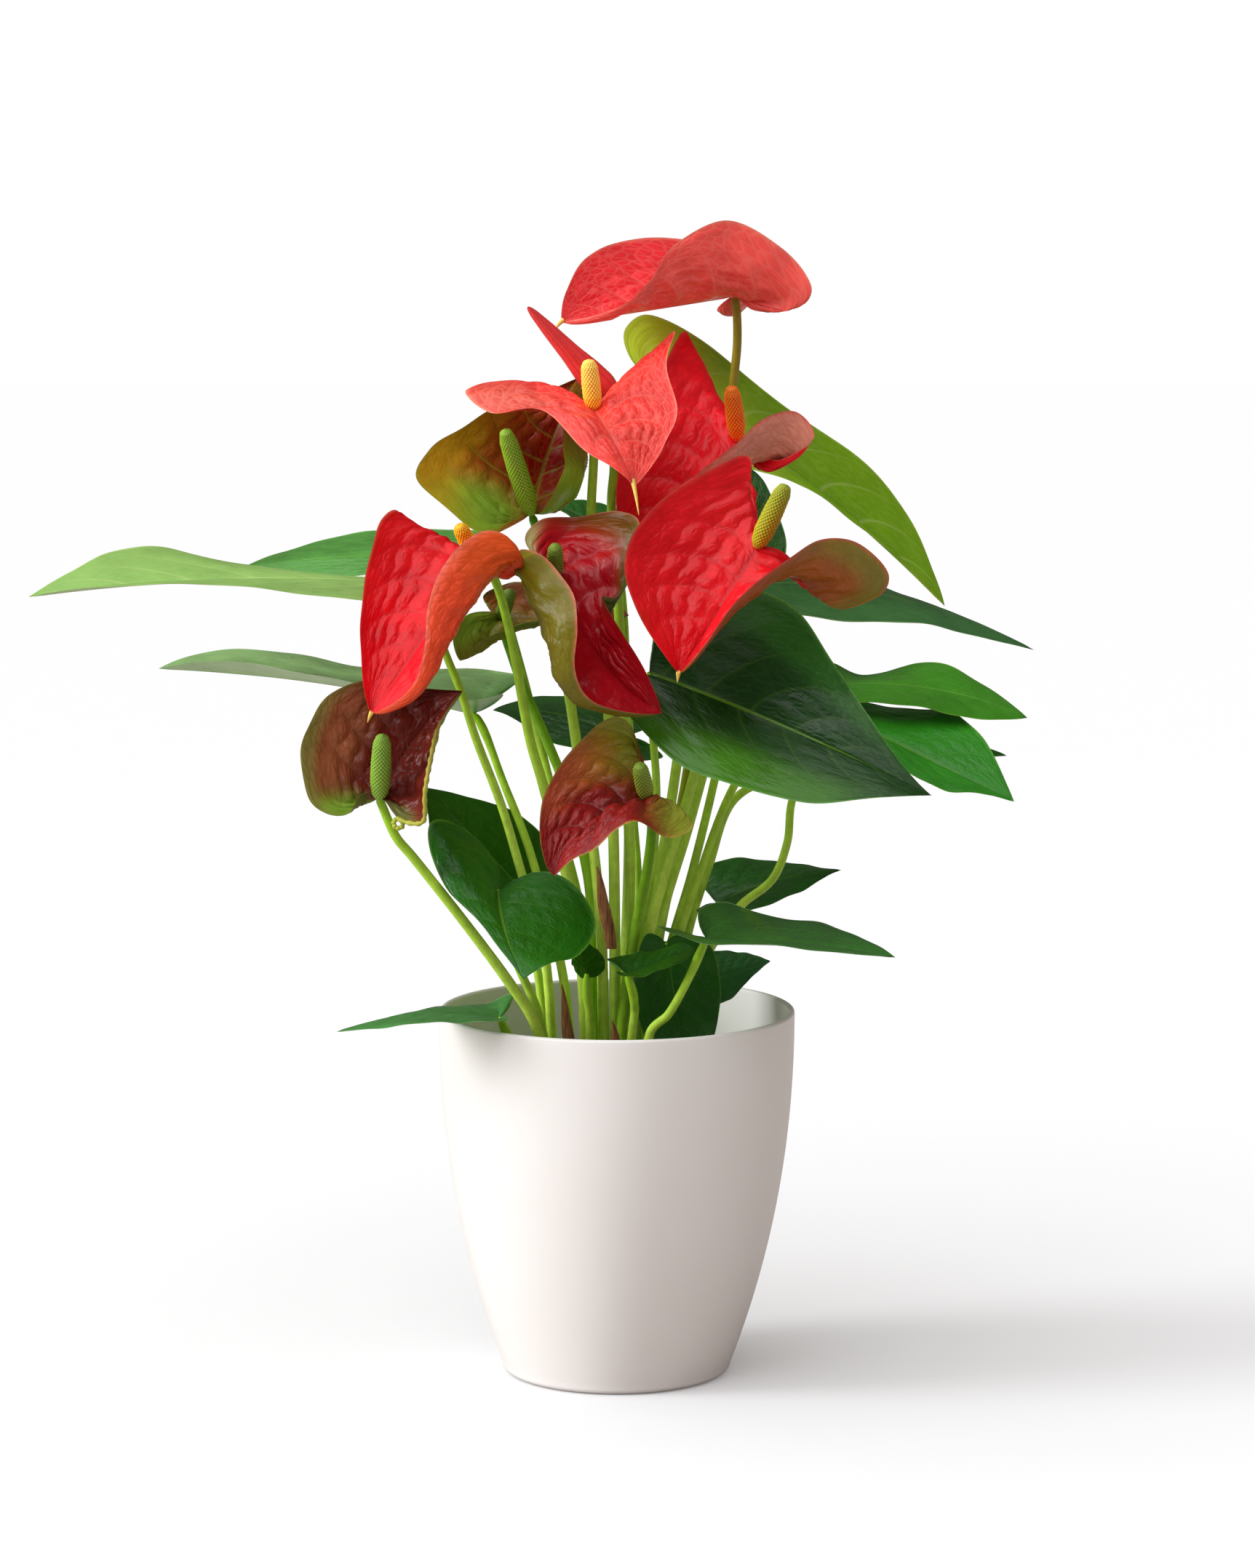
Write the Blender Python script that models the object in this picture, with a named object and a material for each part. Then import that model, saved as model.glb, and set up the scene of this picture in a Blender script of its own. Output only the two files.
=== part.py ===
"""A potted anthurium in flower: a cover pot, a nursery pot of soil, ten open flowers, one
rolled young flower and twenty-one leaves. Millimetres here, metres in the scene, +Z up.
The origin is the centre of the cover pot's foot, on the surface it stands on."""

import math

import bpy
import bmesh
import numpy as np

MM = 0.001
CLEARANCE = 0.3  # between pieces that touch

# Cover pot
POT_HEIGHT = 150.0
POT_RIM_RADIUS = 72.5
POT_FOOT_RADIUS = 45.5
POT_SIDE_POWER = 2.15  # how early the side swells out: 1 is a straight cone
POT_WALL = 2.6
POT_FLOOR = 3.0
POT_FOOT_ROUND = 3.0
POT_FOOT_EASE = (0.25, 0.3)  # where the round passes: in from the side, up from the ground
POT_SIDES = 32
POT_RINGS = 12

# Nursery pot and soil, which hang their heights from the cover pot's rim
NURSERY_BELOW_RIM = 34.0
NURSERY_WALL = 1.2
NURSERY_FOOT_GAP = 3.0
NURSERY_RIM_GAP = 10.0
NURSERY_LIP_WIDTH = 2.5
NURSERY_LIP_HEIGHT = 6.0
NURSERY_SIDES = 24
DRAIN_HOLES = 5
DRAIN_HOLE_RADIUS = 5.0
DRAIN_HOLE_CIRCLE = 26.0
DRAIN_HOLE_SIDES = 12
DRILL_WALLS = 4  # the drill is this many walls long
SOIL_BELOW_RIM = 42.0

# Leaves and flowers
BLADE_THICKNESS = 0.8
SPATHE_THICKNESS = 0.9
LEAF_GRID = (8, 2)  # rows from base to tip, and columns in each half
SPATHE_GRID = (8, 3)
LOBE_SHARE = 0.3  # the share of a blade's rows that sweep round its two back lobes
SWELL_FADE = 0.6  # how late a swell fades towards the blade's base and tip
THIN_POWER = 4  # how late a blade thins out towards its margin
STALK_RADIUS = 1.7
NECK_GAP = 0.65  # from a flower's base to its stalk, in stalk radii
NECK_END = 2.35  # where the stalk has its full thickness, in stalk radii from the base
NECK_SHARE = 0.45  # the neck's radius, as a share of the stalk's
LEAF_STEM_RADIUS = 1.45
STEM_REACH = 1.2  # how far a leaf's stem passes its base, in blade thicknesses
FOOT_SWELL = 1.4  # a stem's foot is this many times its top's radius
STEM_SIDES = 6
STEM_RINGS = 8
FIRST_ACROSS = (0.3, 1.0, 0.2)  # a tube's section starts square to this, which no tube follows
FINGER_SIDES = 8
FINGER_GAP = 1.2
YOUNG_ROLL_RADIUS = 6.6
SHEATH_WIDTH = 4.6
SHEATH_THICKNESS = 1.0
SMOOTH_ANGLE = 40  # degrees: a sharper edge shows as an edge

# Outlines: the share of the length from the base, and the share of the radius there
FINGER_OUTLINE = (
    (0.0, 0.25), (0.08, 0.7), (0.25, 1.0), (0.55, 1.0), (0.85, 0.88), (0.96, 0.55), (1.0, 0.2),
)
ROLL_OUTLINE = (
    (0.0, 0.35), (0.06, 0.85), (0.16, 1.0), (0.32, 0.86), (0.5, 0.6), (0.75, 0.42),
    (0.95, 0.2), (1.0, 0.06),
)
SHEATH_OUTLINE = ((0.0, 0.8), (0.25, 1.0), (0.5, 0.9), (0.75, 0.6), (1.0, 0.12))

# Places are millimetres from the pot's axis, with heights above the rim: x to the right, y to
# the back. A blade hangs on its stem at base and ends at tip. Its margins run from the base
# round a back lobe to the tip, and left is on the left hand of someone who stands on its
# upper face and looks at the tip. The arch is how far the midrib's middle stands off the
# straight line, and a swell how far that half bellies between midrib and margin. A stem runs
# from the base down through its points to its foot on the soil.
FLOWERS = {
    "01": dict(
        base=(48, 28, 289), tip=(-22, -8, 279), arch=(0, 0, 0),
        left=[
            (59, 16, 288), (74, 8, 285), (78, 4, 293), (66, 2, 308), (44, 0, 319), (23, -4, 309),
            (13, -8, 295), (1, -12, 285),
        ],
        right=[
            (41, 40, 282), (51, 52, 282), (59, 66, 295), (34, 66, 309), (7, 48, 311),
            (-12, 20, 304), (-20, 0, 291),
        ],
        swell_left=(0, -4, -6), swell_right=(0, 2, -4),
        finger_tip=(52, 40, 304), finger_radius=3.3,
        stem=[
            (49, 28, 270), (47, 27, 249), (45, 26, 220), (41, 26, 196), (35, 24, 142),
            (27, 18, 83), (13, 12, 24),
        ],
        foot=(6, 12),
    ),
    "02": dict(
        base=(-9, -25, 245), tip=(7, -62, 217), arch=(0, -4, 3),
        left=[
            (-3, -14, 248), (8, -6, 258), (23, 2, 275), (20, -14, 261), (24, -30, 245),
            (19, -44, 232), (12, -56, 222),
        ],
        right=[
            (-14, -16, 246), (-29, -8, 248), (-47, -4, 255), (-60, -18, 252), (-50, -32, 244),
            (-29, -46, 246), (-13, -58, 231), (-1, -62, 224),
        ],
        swell_left=(0, 4, 0), swell_right=(0, 0, 4),
        finger_tip=(-11, -30, 265), finger_radius=3.6,
        stem=[
            (-9, -20, 226), (-10, -14, 198), (-6, -10, 168), (-3, -8, 116), (-1, -6, 57),
        ],
        foot=(-1, -3),
    ),
    "03": dict(
        base=(49, 12, 231), tip=(7, -10, 185), arch=(0, 0, 0),
        left=[
            (58, 2, 226), (66, -6, 224), (79, -8, 233), (72, -10, 243), (59, -14, 241),
            (46, -20, 230), (31, -24, 218), (17, -22, 204),
        ],
        right=[
            (44, 22, 239), (35, 32, 254), (28, 32, 274), (17, 20, 257), (4, 6, 232), (0, -2, 215),
            (1, -8, 198),
        ],
        swell_left=(2, -4, -10), swell_right=(0, 4, 0),
        finger_tip=(46, 2, 253), finger_radius=3.6,
        stem=[
            (45, 18, 214), (38, 20, 173), (29, 16, 128), (20, 8, 70), (10, 4, 19),
        ],
        foot=(5, 5),
    ),
    "04": dict(
        base=(55, -55, 193), tip=(24, -84, 146), arch=(0, 0, 0),
        left=[
            (65, -54, 191), (73, -52, 183), (86, -50, 168), (103, -52, 173), (106, -56, 183),
            (94, -64, 195), (81, -72, 197), (67, -82, 191), (47, -92, 176), (34, -92, 158),
        ],
        right=[
            (54, -50, 197), (52, -42, 212), (52, -38, 227), (40, -42, 224), (20, -52, 213),
            (7, -64, 199), (3, -72, 187), (7, -82, 172), (17, -88, 156),
        ],
        swell_left=(2, -4, -4), swell_right=(0, 6, 0),
        finger_tip=(66, -66, 218), finger_radius=3.9,
        stem=[
            (56, -38, 180), (54, -24, 166), (49, -8, 146), (39, 0, 121), (27, 0, 80), (12, -9, 27),
        ],
        foot=(3, -11),
    ),
    "05": dict(
        base=(-55, -38, 187), tip=(-95, -80, 130), arch=(0, 0, 0),
        left=[
            (-45, -38, 179), (-39, -46, 188), (-42, -52, 196), (-52, -58, 199), (-61, -66, 194),
            (-69, -72, 183), (-73, -78, 170), (-74, -84, 156), (-79, -88, 141),
        ],
        right=[
            (-68, -30, 188), (-79, -25, 195), (-87, -24, 205), (-94, -34, 200), (-98, -50, 181),
            (-100, -64, 160), (-98, -76, 141),
        ],
        swell_left=(12, -8, -6), swell_right=(-2, 6, 0),
        finger_tip=(-62, -48, 201), finger_radius=3.4,
        stem=[
            (-48, -28, 177), (-42, -20, 153), (-35, -18, 114), (-30, -18, 96), (-21, -16, 61),
            (-14, -18, 20),
        ],
        foot=(-13, -10),
    ),
    "06": dict(
        base=(-34, -16, 203), tip=(-15, 12, 256), arch=(-2, 6, 0),
        left=[
            (-43, -24, 198), (-52, -32, 196), (-62, -36, 202), (-78, -40, 218), (-74, -34, 229),
            (-63, -26, 237), (-48, -12, 245), (-31, 5, 250),
        ],
        right=[
            (-30, -20, 204), (-25, -30, 212), (-21, -34, 223), (-21, -20, 237), (-20, -2, 246),
            (-18, 7, 252),
        ],
        swell_left=(0, 6, 0), swell_right=(14, 8, 0),
        finger_tip=(-44, -38, 238), finger_radius=3.9,
        stem=[
            (-31, -12, 193), (-27, -8, 178), (-24, -7, 157), (-20, -5, 134), (-15, -1, 98),
            (-11, 1, 56),
        ],
        foot=(-8, 1),
    ),
    "07": dict(
        base=(-24, -36, 181), tip=(18, -62, 128), arch=(-4, 0, -5),
        left=[
            (-36, -30, 193), (-30, -22, 201), (-15, -20, 202), (1, -30, 205), (9, -40, 201),
            (8, -46, 185), (1, -50, 173), (-6, -52, 173), (2, -58, 160), (12, -64, 144),
        ],
        right=[
            (-32, -36, 185), (-38, -36, 190), (-29, -50, 189), (-22, -64, 183), (-16, -70, 174),
            (-15, -76, 163), (-16, -78, 147), (-11, -76, 136), (2, -70, 130),
        ],
        swell_left=(0, 3, 0), swell_right=(-14, -6, -6),
        finger_tip=(-24, -52, 193), finger_radius=3.2,
        stem=[
            (-22, -22, 172), (-22, -16, 164), (-21, -12, 146), (-17, -12, 117), (-10, -14, 73),
            (-6, -14, 28),
        ],
        foot=(-6, -11),
    ),
    "08": dict(
        base=(-93, -58, 94), tip=(-61, -44, 135), arch=(-3, 6, 2),
        left=[
            (-100, -60, 96), (-105, -66, 89), (-113, -70, 89), (-120, -70, 96), (-123, -66, 113),
            (-120, -60, 125), (-112, -54, 135), (-98, -46, 139), (-78, -42, 136),
        ],
        right=[
            (-90, -64, 93), (-85, -74, 88), (-75, -82, 88), (-74, -84, 100), (-72, -78, 112),
            (-69, -66, 124),
        ],
        swell_left=(0, 8, 0), swell_right=(4, 6, 0),
        finger_tip=(-91, -72, 121), finger_radius=3.9,
        stem=[
            (-92, -54, 90), (-87, -52, 78), (-80, -50, 69), (-60, -44, 42), (-42, -38, 16),
            (-32, -34, -2),
        ],
        foot=(-21, -26),
    ),
    "09": dict(
        base=(12, -56, 94), tip=(-24, -84, 67), arch=(0, -2, 4),
        left=[
            (19, -58, 92), (30, -66, 85), (22, -76, 81), (6, -84, 88), (-8, -90, 79),
            (-17, -90, 74),
        ],
        right=[
            (11, -50, 107), (6, -46, 121), (-1, -48, 125), (-14, -56, 117), (-25, -64, 103),
            (-30, -74, 87), (-28, -82, 73),
        ],
        swell_left=(-2, 2, 4), swell_right=(0, 6, 0),
        finger_tip=(9, -70, 109), finger_radius=3.4,
        stem=[
            (13, -48, 89), (14, -36, 79), (12, -22, 59), (7, -12, 31), (3, -17, 5),
        ],
        foot=(-1, -20),
    ),
    "10": dict(
        base=(-47, 20, 158), tip=(5, 18, 159), arch=(0, 0, 0),
        left=[
            (-50, 28, 161), (-55, 38, 165), (-44, 48, 170), (-23, 48, 167), (-5, 34, 165),
        ],
        right=[
            (-52, 14, 161), (-61, 6, 160), (-66, 2, 151), (-63, 2, 142), (-55, 4, 150),
            (-38, 6, 157), (-14, 10, 158),
        ],
        swell_left=(0, 0, -2), swell_right=(0, -2, -2),
        finger_tip=(-43, 10, 170), finger_radius=3.0,
        stem=[
            (-46, 20, 152), (-43, 13, 144), (-38, -4, 133), (-29, -8, 113), (-18, -6, 83),
            (-10, -7, 39),
        ],
        foot=(-15, -2),
    ),
}

YOUNG_FLOWER = dict(
    base=(-1, 0, 247), tip=(-35, -20, 285),
    stem=[
        (-1, -2, 233), (-1, -2, 220), (-2, -2, 204), (1, 0, 160), (4, 1, 100), (5, 2, 41),
    ],
    foot=(-2, 6),
)

LEAVES = {
    "01": dict(
        base=(35, 46, 238), tip=(137, 70, 158), arch=(0, 0, 7),
        left=[
            (23, 46, 247), (7, 50, 260), (3, 52, 273), (13, 54, 280), (35, 58, 269), (68, 64, 243),
            (102, 70, 219), (122, 74, 195), (133, 74, 171),
        ],
        right=[
            (33, 42, 230), (41, 40, 219), (57, 38, 217), (78, 42, 209), (103, 52, 191),
            (122, 64, 175),
        ],
        swell_left=(0, 0, 0), swell_right=(0, 0, 0),
        stem=[
            (37, 48, 218), (35, 46, 182), (33, 36, 126), (27, 24, 73), (17, 16, 23),
        ],
        foot=(11, 12),
    ),
    "02": dict(
        base=(-75, -2, 173), tip=(-233, -32, 171), arch=(0, 0, 5),
        left=[
            (-65, -14, 172), (-71, -34, 169), (-99, -50, 171), (-133, -56, 176), (-170, -54, 178),
            (-205, -44, 176),
        ],
        right=[
            (-66, 14, 176), (-76, 24, 178), (-103, 26, 174), (-151, 26, 179), (-185, 18, 187),
            (-204, 2, 186), (-218, -18, 180),
        ],
        swell_left=(0, 0, 0), swell_right=(0, 0, 0),
        stem=[
            (-72, -12, 161), (-69, -22, 150), (-62, -28, 133), (-56, -28, 114), (-46, -22, 86),
            (-38, -16, 57), (-29, -13, 25),
        ],
        foot=(-26, -6),
    ),
    "03": dict(
        base=(-53, 44, 178), tip=(-157, 68, 174), arch=(0, 0, 4),
        left=[
            (-43, 34, 180), (-52, 28, 177), (-74, 32, 175), (-110, 44, 173), (-141, 58, 172),
        ],
        right=[
            (-45, 58, 186), (-60, 76, 189), (-88, 88, 189), (-116, 90, 186), (-140, 84, 180),
        ],
        swell_left=(0, 0, 0), swell_right=(0, 0, 0),
        stem=[
            (-48, 56, 163), (-41, 46, 140), (-36, 34, 123), (-30, 20, 101), (-22, 8, 70),
            (-13, 8, 28),
        ],
        foot=(-9, 9),
    ),
    "04": dict(
        base=(-58, 8, 120), tip=(-187, 20, 137), arch=(0, 0, 4),
        left=[
            (-49, 2, 125), (-46, -4, 129), (-58, -12, 128), (-78, -18, 130), (-104, -16, 135),
            (-131, -12, 140), (-161, 2, 142),
        ],
        right=[
            (-45, 20, 129), (-39, 32, 132), (-51, 54, 133), (-75, 66, 132), (-106, 70, 133),
            (-136, 62, 139), (-165, 46, 142),
        ],
        swell_left=(0, 0, 0), swell_right=(0, 0, 0),
        stem=[
            (-53, 2, 112), (-46, -4, 94), (-37, -10, 72), (-30, -10, 48), (-21, -10, 10),
        ],
        foot=(-19, -7),
    ),
    "05": dict(
        base=(13, -34, 141), tip=(123, -72, 97), arch=(0, 0, 2),
        left=[
            (15, -38, 153), (17, -40, 166), (32, -44, 175), (52, -45, 176), (71, -43, 167),
            (85, -46, 147), (98, -54, 128), (112, -64, 108),
        ],
        right=[
            (7, -34, 135), (4, -40, 127), (12, -50, 118), (26, -60, 107), (49, -72, 100),
            (75, -78, 95), (104, -78, 97),
        ],
        swell_left=(0, 0, 0), swell_right=(0, 0, 0),
        stem=[
            (14, -22, 121), (16, -14, 93), (15, -7, 66), (11, -2, 38), (8, -1, 14),
        ],
        foot=(4, -6),
    ),
    "06": dict(
        base=(56, 46, 170), tip=(176, 86, 138), arch=(0, 2, 8),
        left=[
            (51, 54, 176), (61, 72, 177), (86, 88, 171), (115, 98, 163), (146, 100, 151),
        ],
        right=[
            (51, 38, 167), (57, 32, 160), (73, 30, 158), (99, 34, 155), (129, 50, 152),
            (156, 70, 144),
        ],
        swell_left=(0, 0, 0), swell_right=(0, 0, 0),
        stem=[
            (52, 44, 149), (47, 38, 123), (41, 32, 93), (31, 22, 53), (20, 12, 15),
        ],
        foot=(11, 5),
    ),
    "07": dict(
        base=(84, 16, 130), tip=(167, 10, 118), arch=(0, 0, 6),
        left=[
            (80, 28, 135), (88, 44, 137), (102, 50, 131), (117, 48, 135), (133, 42, 137),
            (150, 28, 130),
        ],
        right=[
            (79, 2, 128), (84, -8, 127), (100, -12, 127), (125, -12, 124), (147, -4, 119),
        ],
        swell_left=(0, 0, 0), swell_right=(0, 0, 0),
        stem=[
            (68, 20, 116), (48, 18, 89), (34, 10, 54), (22, 4, 16),
        ],
        foot=(14, -1),
    ),
    "08": dict(
        base=(91, -14, 121), tip=(158, -38, 90), arch=(0, 0, 0),
        left=[
            (93, -2, 126), (104, 8, 124), (120, 8, 122), (136, 2, 121), (147, -10, 113),
            (153, -24, 102),
        ],
        right=[
            (88, -22, 115), (98, -32, 109), (113, -42, 103), (130, -48, 96), (145, -46, 94),
        ],
        swell_left=(0, 0, 0), swell_right=(0, 0, 0),
        stem=[
            (79, -2, 104), (71, -4, 86), (69, -6, 69), (63, -6, 54), (50, -1, 42), (37, 4, 22),
            (24, 0, -4),
        ],
        foot=(20, -4),
    ),
    "09": dict(
        base=(-47, -44, 55), tip=(-36, -88, 27), arch=(-2, -4, 1),
        left=[
            (-41, -42, 59), (-32, -40, 62), (-21, -44, 61), (-12, -52, 53), (-8, -62, 43),
            (-15, -74, 34), (-27, -84, 32),
        ],
        right=[
            (-47, -34, 62), (-54, -28, 72), (-65, -28, 80), (-74, -34, 81), (-74, -42, 71),
            (-67, -52, 57), (-55, -64, 47), (-45, -78, 37),
        ],
        swell_left=(0, 0, 0), swell_right=(0, 0, 0),
        stem=[
            (-46, -30, 38), (-39, -24, 20), (-31, -20, -1),
        ],
        foot=(-25, -14),
    ),
    "10": dict(
        base=(-42, -8, 54), tip=(-76, -18, 93), arch=(0, 0, 0),
        left=[
            (-46, -16, 51), (-58, -26, 55), (-70, -30, 66), (-75, -26, 80),
        ],
        right=[
            (-35, 2, 48), (-27, 10, 53), (-30, 12, 69), (-44, 6, 81), (-61, -6, 88),
        ],
        swell_left=(0, 0, 0), swell_right=(0, 0, 0),
        stem=[
            (-38, -3, 38), (-32, 0, 14),
        ],
        foot=(-27, 2),
    ),
    "11": dict(
        base=(41, 22, 40), tip=(93, 40, 51), arch=(0, 0, 3),
        left=[
            (37, 32, 44), (34, 40, 49), (41, 48, 53), (55, 54, 54), (72, 54, 52), (84, 48, 51),
        ],
        right=[
            (35, 14, 40), (33, 4, 39), (45, 2, 39), (60, 6, 41), (75, 18, 45), (85, 30, 49),
        ],
        swell_left=(0, 0, 0), swell_right=(0, 0, 0),
        stem=[
            (41, 18, 34), (35, 16, 20), (29, 12, 9), (23, 8, -6),
        ],
        foot=(21, 4),
    ),
    "12": dict(
        base=(36, -40, 35), tip=(109, -78, 34), arch=(0, 0, 2),
        left=[
            (33, -30, 40), (34, -18, 44), (45, -10, 45), (64, -14, 40), (84, -28, 39),
            (99, -54, 37),
        ],
        right=[
            (26, -44, 38), (16, -50, 42), (22, -58, 40), (36, -68, 38), (55, -78, 39),
            (77, -84, 38), (96, -84, 36),
        ],
        swell_left=(0, 0, 0), swell_right=(0, 0, 0),
        stem=[
            (34, -40, 31), (28, -42, 18), (21, -40, 5), (13, -38, -5),
        ],
        foot=(12, -35),
    ),
    "13": dict(
        base=(20, -12, 29), tip=(29, -24, -27), arch=(0, 0, 0),
        left=[
            (27, -8, 32), (38, -8, 27), (42, -10, 14), (41, -14, -2), (37, -18, -16),
        ],
        right=[
            (12, -16, 33), (8, -20, 23), (7, -22, 9), (11, -26, -7), (19, -27, -19),
        ],
        swell_left=(0, 0, 0), swell_right=(0, 0, 0),
        stem=[
            (17, -6, 21), (15, -5, 9), (13, -6, -6),
        ],
        foot=(10, -10),
    ),
    "14": dict(
        base=(40, 24, 8), tip=(64, 44, 12), arch=(0, 0, 0),
        left=[
            (37, 30, 12), (38, 40, 16), (49, 46, 16), (58, 46, 14),
        ],
        right=[
            (35, 18, 5), (38, 14, -1), (46, 18, 0), (53, 28, 5), (60, 38, 10),
        ],
        swell_left=(0, 0, 0), swell_right=(0, 0, 0),
        stem=[
            (38, 20, -3), (34, 16, -15),
        ],
        foot=(27, 10),
    ),
    "15": dict(
        base=(-47, -40, 3), tip=(-110, -70, 3), arch=(0, 0, 4),
        left=[
            (-43, -48, 5), (-45, -58, 5), (-56, -70, 7), (-73, -78, 8), (-93, -78, 6),
        ],
        right=[
            (-43, -32, 6), (-42, -24, 10), (-52, -16, 5), (-64, -20, 5), (-83, -38, 5),
            (-98, -56, 4),
        ],
        swell_left=(0, 0, 0), swell_right=(0, 0, 0),
        stem=[
            (-45, -38, -1), (-42, -34, -10),
        ],
        foot=(-34, -24),
    ),
    "16": dict(
        base=(4, -40, 21), tip=(31, -30, 30), arch=(0, 0, 0),
        left=[
            (-1, -37, 25), (-4, -34, 26), (4, -29, 27), (15, -26, 28), (25, -27, 31),
        ],
        right=[
            (0, -46, 23), (1, -54, 23), (11, -56, 23), (22, -50, 26), (29, -40, 28),
        ],
        swell_left=(0, 0, 0), swell_right=(0, 0, 0),
        stem=[
            (6, -38, 15), (7, -34, 9), (7, -30, 1),
        ],
        foot=(1, -27),
    ),
    "17": dict(
        base=(1, 38, 107), tip=(-52, 64, 115), arch=(0, 0, 4),
        left=[
            (11, 32, 106), (19, 26, 100), (10, 22, 99), (-8, 22, 102), (-25, 30, 105),
            (-42, 46, 113),
        ],
        right=[
            (13, 44, 110), (17, 56, 115), (4, 68, 120), (-16, 76, 119), (-35, 78, 119),
        ],
        swell_left=(0, 0, 0), swell_right=(0, 0, 0),
        stem=[
            (4, 34, 96), (7, 28, 73), (8, 19, 35),
        ],
        foot=(-5, 20),
    ),
    "18": dict(
        base=(-2, 28, 193), tip=(-27, 46, 203), arch=(0, 0, 0),
        left=[
            (3, 22, 192), (1, 16, 189), (-10, 18, 192), (-20, 30, 199),
        ],
        right=[
            (4, 34, 195), (4, 44, 200), (-7, 54, 202), (-17, 54, 204),
        ],
        swell_left=(0, 0, 0), swell_right=(0, 0, 0),
        stem=[
            (1, 32, 177), (3, 31, 157), (4, 20, 134), (5, 11, 114), (5, 9, 96), (4, 13, 39),
        ],
        foot=(-1, 13),
    ),
    "19": dict(
        base=(55, 18, 182), tip=(54, 36, 218), arch=(0, 0, 0),
        left=[
            (52, 14, 179), (47, 14, 182), (47, 22, 196), (50, 32, 210),
        ],
        right=[
            (60, 14, 178), (67, 16, 180), (69, 20, 189), (65, 28, 202), (60, 34, 213),
        ],
        swell_left=(0, 0, 0), swell_right=(0, 0, 0),
        stem=[
            (51, 19, 158), (42, 16, 119), (30, 10, 75), (16, 2, 26),
        ],
        foot=(9, -3),
    ),
    "20": dict(
        base=(121, 36, 106), tip=(163, 62, 96), arch=(0, 0, 2),
        left=[
            (116, 42, 108), (122, 52, 109), (137, 62, 104), (151, 66, 100),
        ],
        right=[
            (116, 30, 103), (122, 26, 101), (136, 36, 99), (150, 50, 97),
        ],
        swell_left=(0, 0, 0), swell_right=(0, 0, 0),
        stem=[
            (100, 34, 98), (69, 30, 92), (48, 26, 82), (38, 22, 56), (28, 16, 23),
        ],
        foot=(17, 12),
    ),
    "21": dict(
        base=(-12, -22, 18), tip=(-14, -40, 35), arch=(0, 0, 0),
        left=[
            (-14, -20, 16), (-17, -20, 19), (-18, -28, 26), (-16, -36, 32),
        ],
        right=[
            (-10, -20, 16), (-5, -20, 19), (-5, -26, 25), (-9, -35, 31),
        ],
        swell_left=(0, 0, 0), swell_right=(0, 0, 0),
        stem=[
            (-12, -22, 10), (-11, -20, 1),
        ],
        foot=(-10, -18),
    ),
}

# A sheath is a dry leaf-scale beside the stems' feet, from its foot to its tip
SHEATHS = {
    "01": ((-15, -34, -26), (-19, -34, -6), (-22, -34, 16)),
    "02": ((1, -34, -26), (0, -34, -10), (-2, -34, 1)),
    "03": ((5, -38, -30), (6, -38, -14), (6, -38, -6)),
    "04": ((-2, -22, 28), (-5, -23, 46), (-8, -23, 62)),
}

PAINT = {
    "pot": ((0.86, 0.83, 0.79), 0.3),
    "nursery": ((0.05, 0.05, 0.05), 0.6),
    "soil": ((0.06, 0.035, 0.02), 0.95),
    "stem": ((0.28, 0.45, 0.08), 0.45),
    "spathe": ((0.55, 0.01, 0.015), 0.25),
    "young": ((0.6, 0.04, 0.05), 0.25),
    "finger": ((0.35, 0.35, 0.04), 0.6),
    "leaf": ((0.02, 0.09, 0.02), 0.3),
    "sheath": ((0.2, 0.07, 0.02), 0.8),
}


def clear_scene():
    for obj in list(bpy.data.objects):
        bpy.data.objects.remove(obj, do_unlink=True)


def paint(name, kind):
    colour, roughness = PAINT[kind]
    material = bpy.data.materials.new(name)
    material.use_nodes = True
    shader = material.node_tree.nodes["Principled BSDF"]
    shader.inputs["Base Color"].default_value = (*colour, 1)
    shader.inputs["Roughness"].default_value = roughness
    shader.inputs["Metallic"].default_value = 0
    return material


def add_object(name, points, faces, kind):
    """One smooth-shaded object from points in millimetres and faces that look outward."""
    mesh = bpy.data.meshes.new(name)
    mesh.from_pydata([tuple(point) for point in np.asarray(points) * MM], [], faces)
    mesh.validate()
    tidy = bmesh.new()
    tidy.from_mesh(mesh)
    bmesh.ops.recalc_face_normals(tidy, faces=tidy.faces)
    tidy.to_mesh(mesh)
    tidy.free()
    mesh.shade_smooth()
    mesh.set_sharp_from_angle(angle=math.radians(SMOOTH_ANGLE))
    mesh.materials.append(paint(name, kind))
    obj = bpy.data.objects.new(name, mesh)
    bpy.context.collection.objects.link(obj)
    return obj


def helper(obj):
    """Leaves an object out of the model, as the tool of a Boolean."""
    obj.hide_render = True
    obj.display_type = "WIRE"
    return obj


def boolean(obj, operation, tool):
    modifier = obj.modifiers.new(operation.title(), "BOOLEAN")
    modifier.operation = operation
    modifier.solver = "EXACT"
    modifier.use_self = True
    modifier.object = helper(tool)


def turned(name, profile, sides, kind):
    """A profile of (radius, height) points turned about +Z, from one end on the axis to the other."""
    points = [(0, 0, profile[0][1])]
    angles = [2 * math.pi * side / sides for side in range(sides)]
    rings = profile[1:-1]
    for radius, height in rings:
        points += [(radius * math.cos(a), radius * math.sin(a), height) for a in angles]
    points.append((0, 0, profile[-1][1]))
    last = len(points) - 1
    faces = []
    for side in range(sides):
        after = (side + 1) % sides
        faces.append((0, 1 + after, 1 + side))
        for ring in range(len(rings) - 1):
            low, high = 1 + ring * sides, 1 + (ring + 1) * sides
            faces.append((low + side, low + after, high + after, high + side))
        top = 1 + (len(rings) - 1) * sides
        faces.append((top + side, top + after, last))
    return add_object(name, points, faces, kind)


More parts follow.
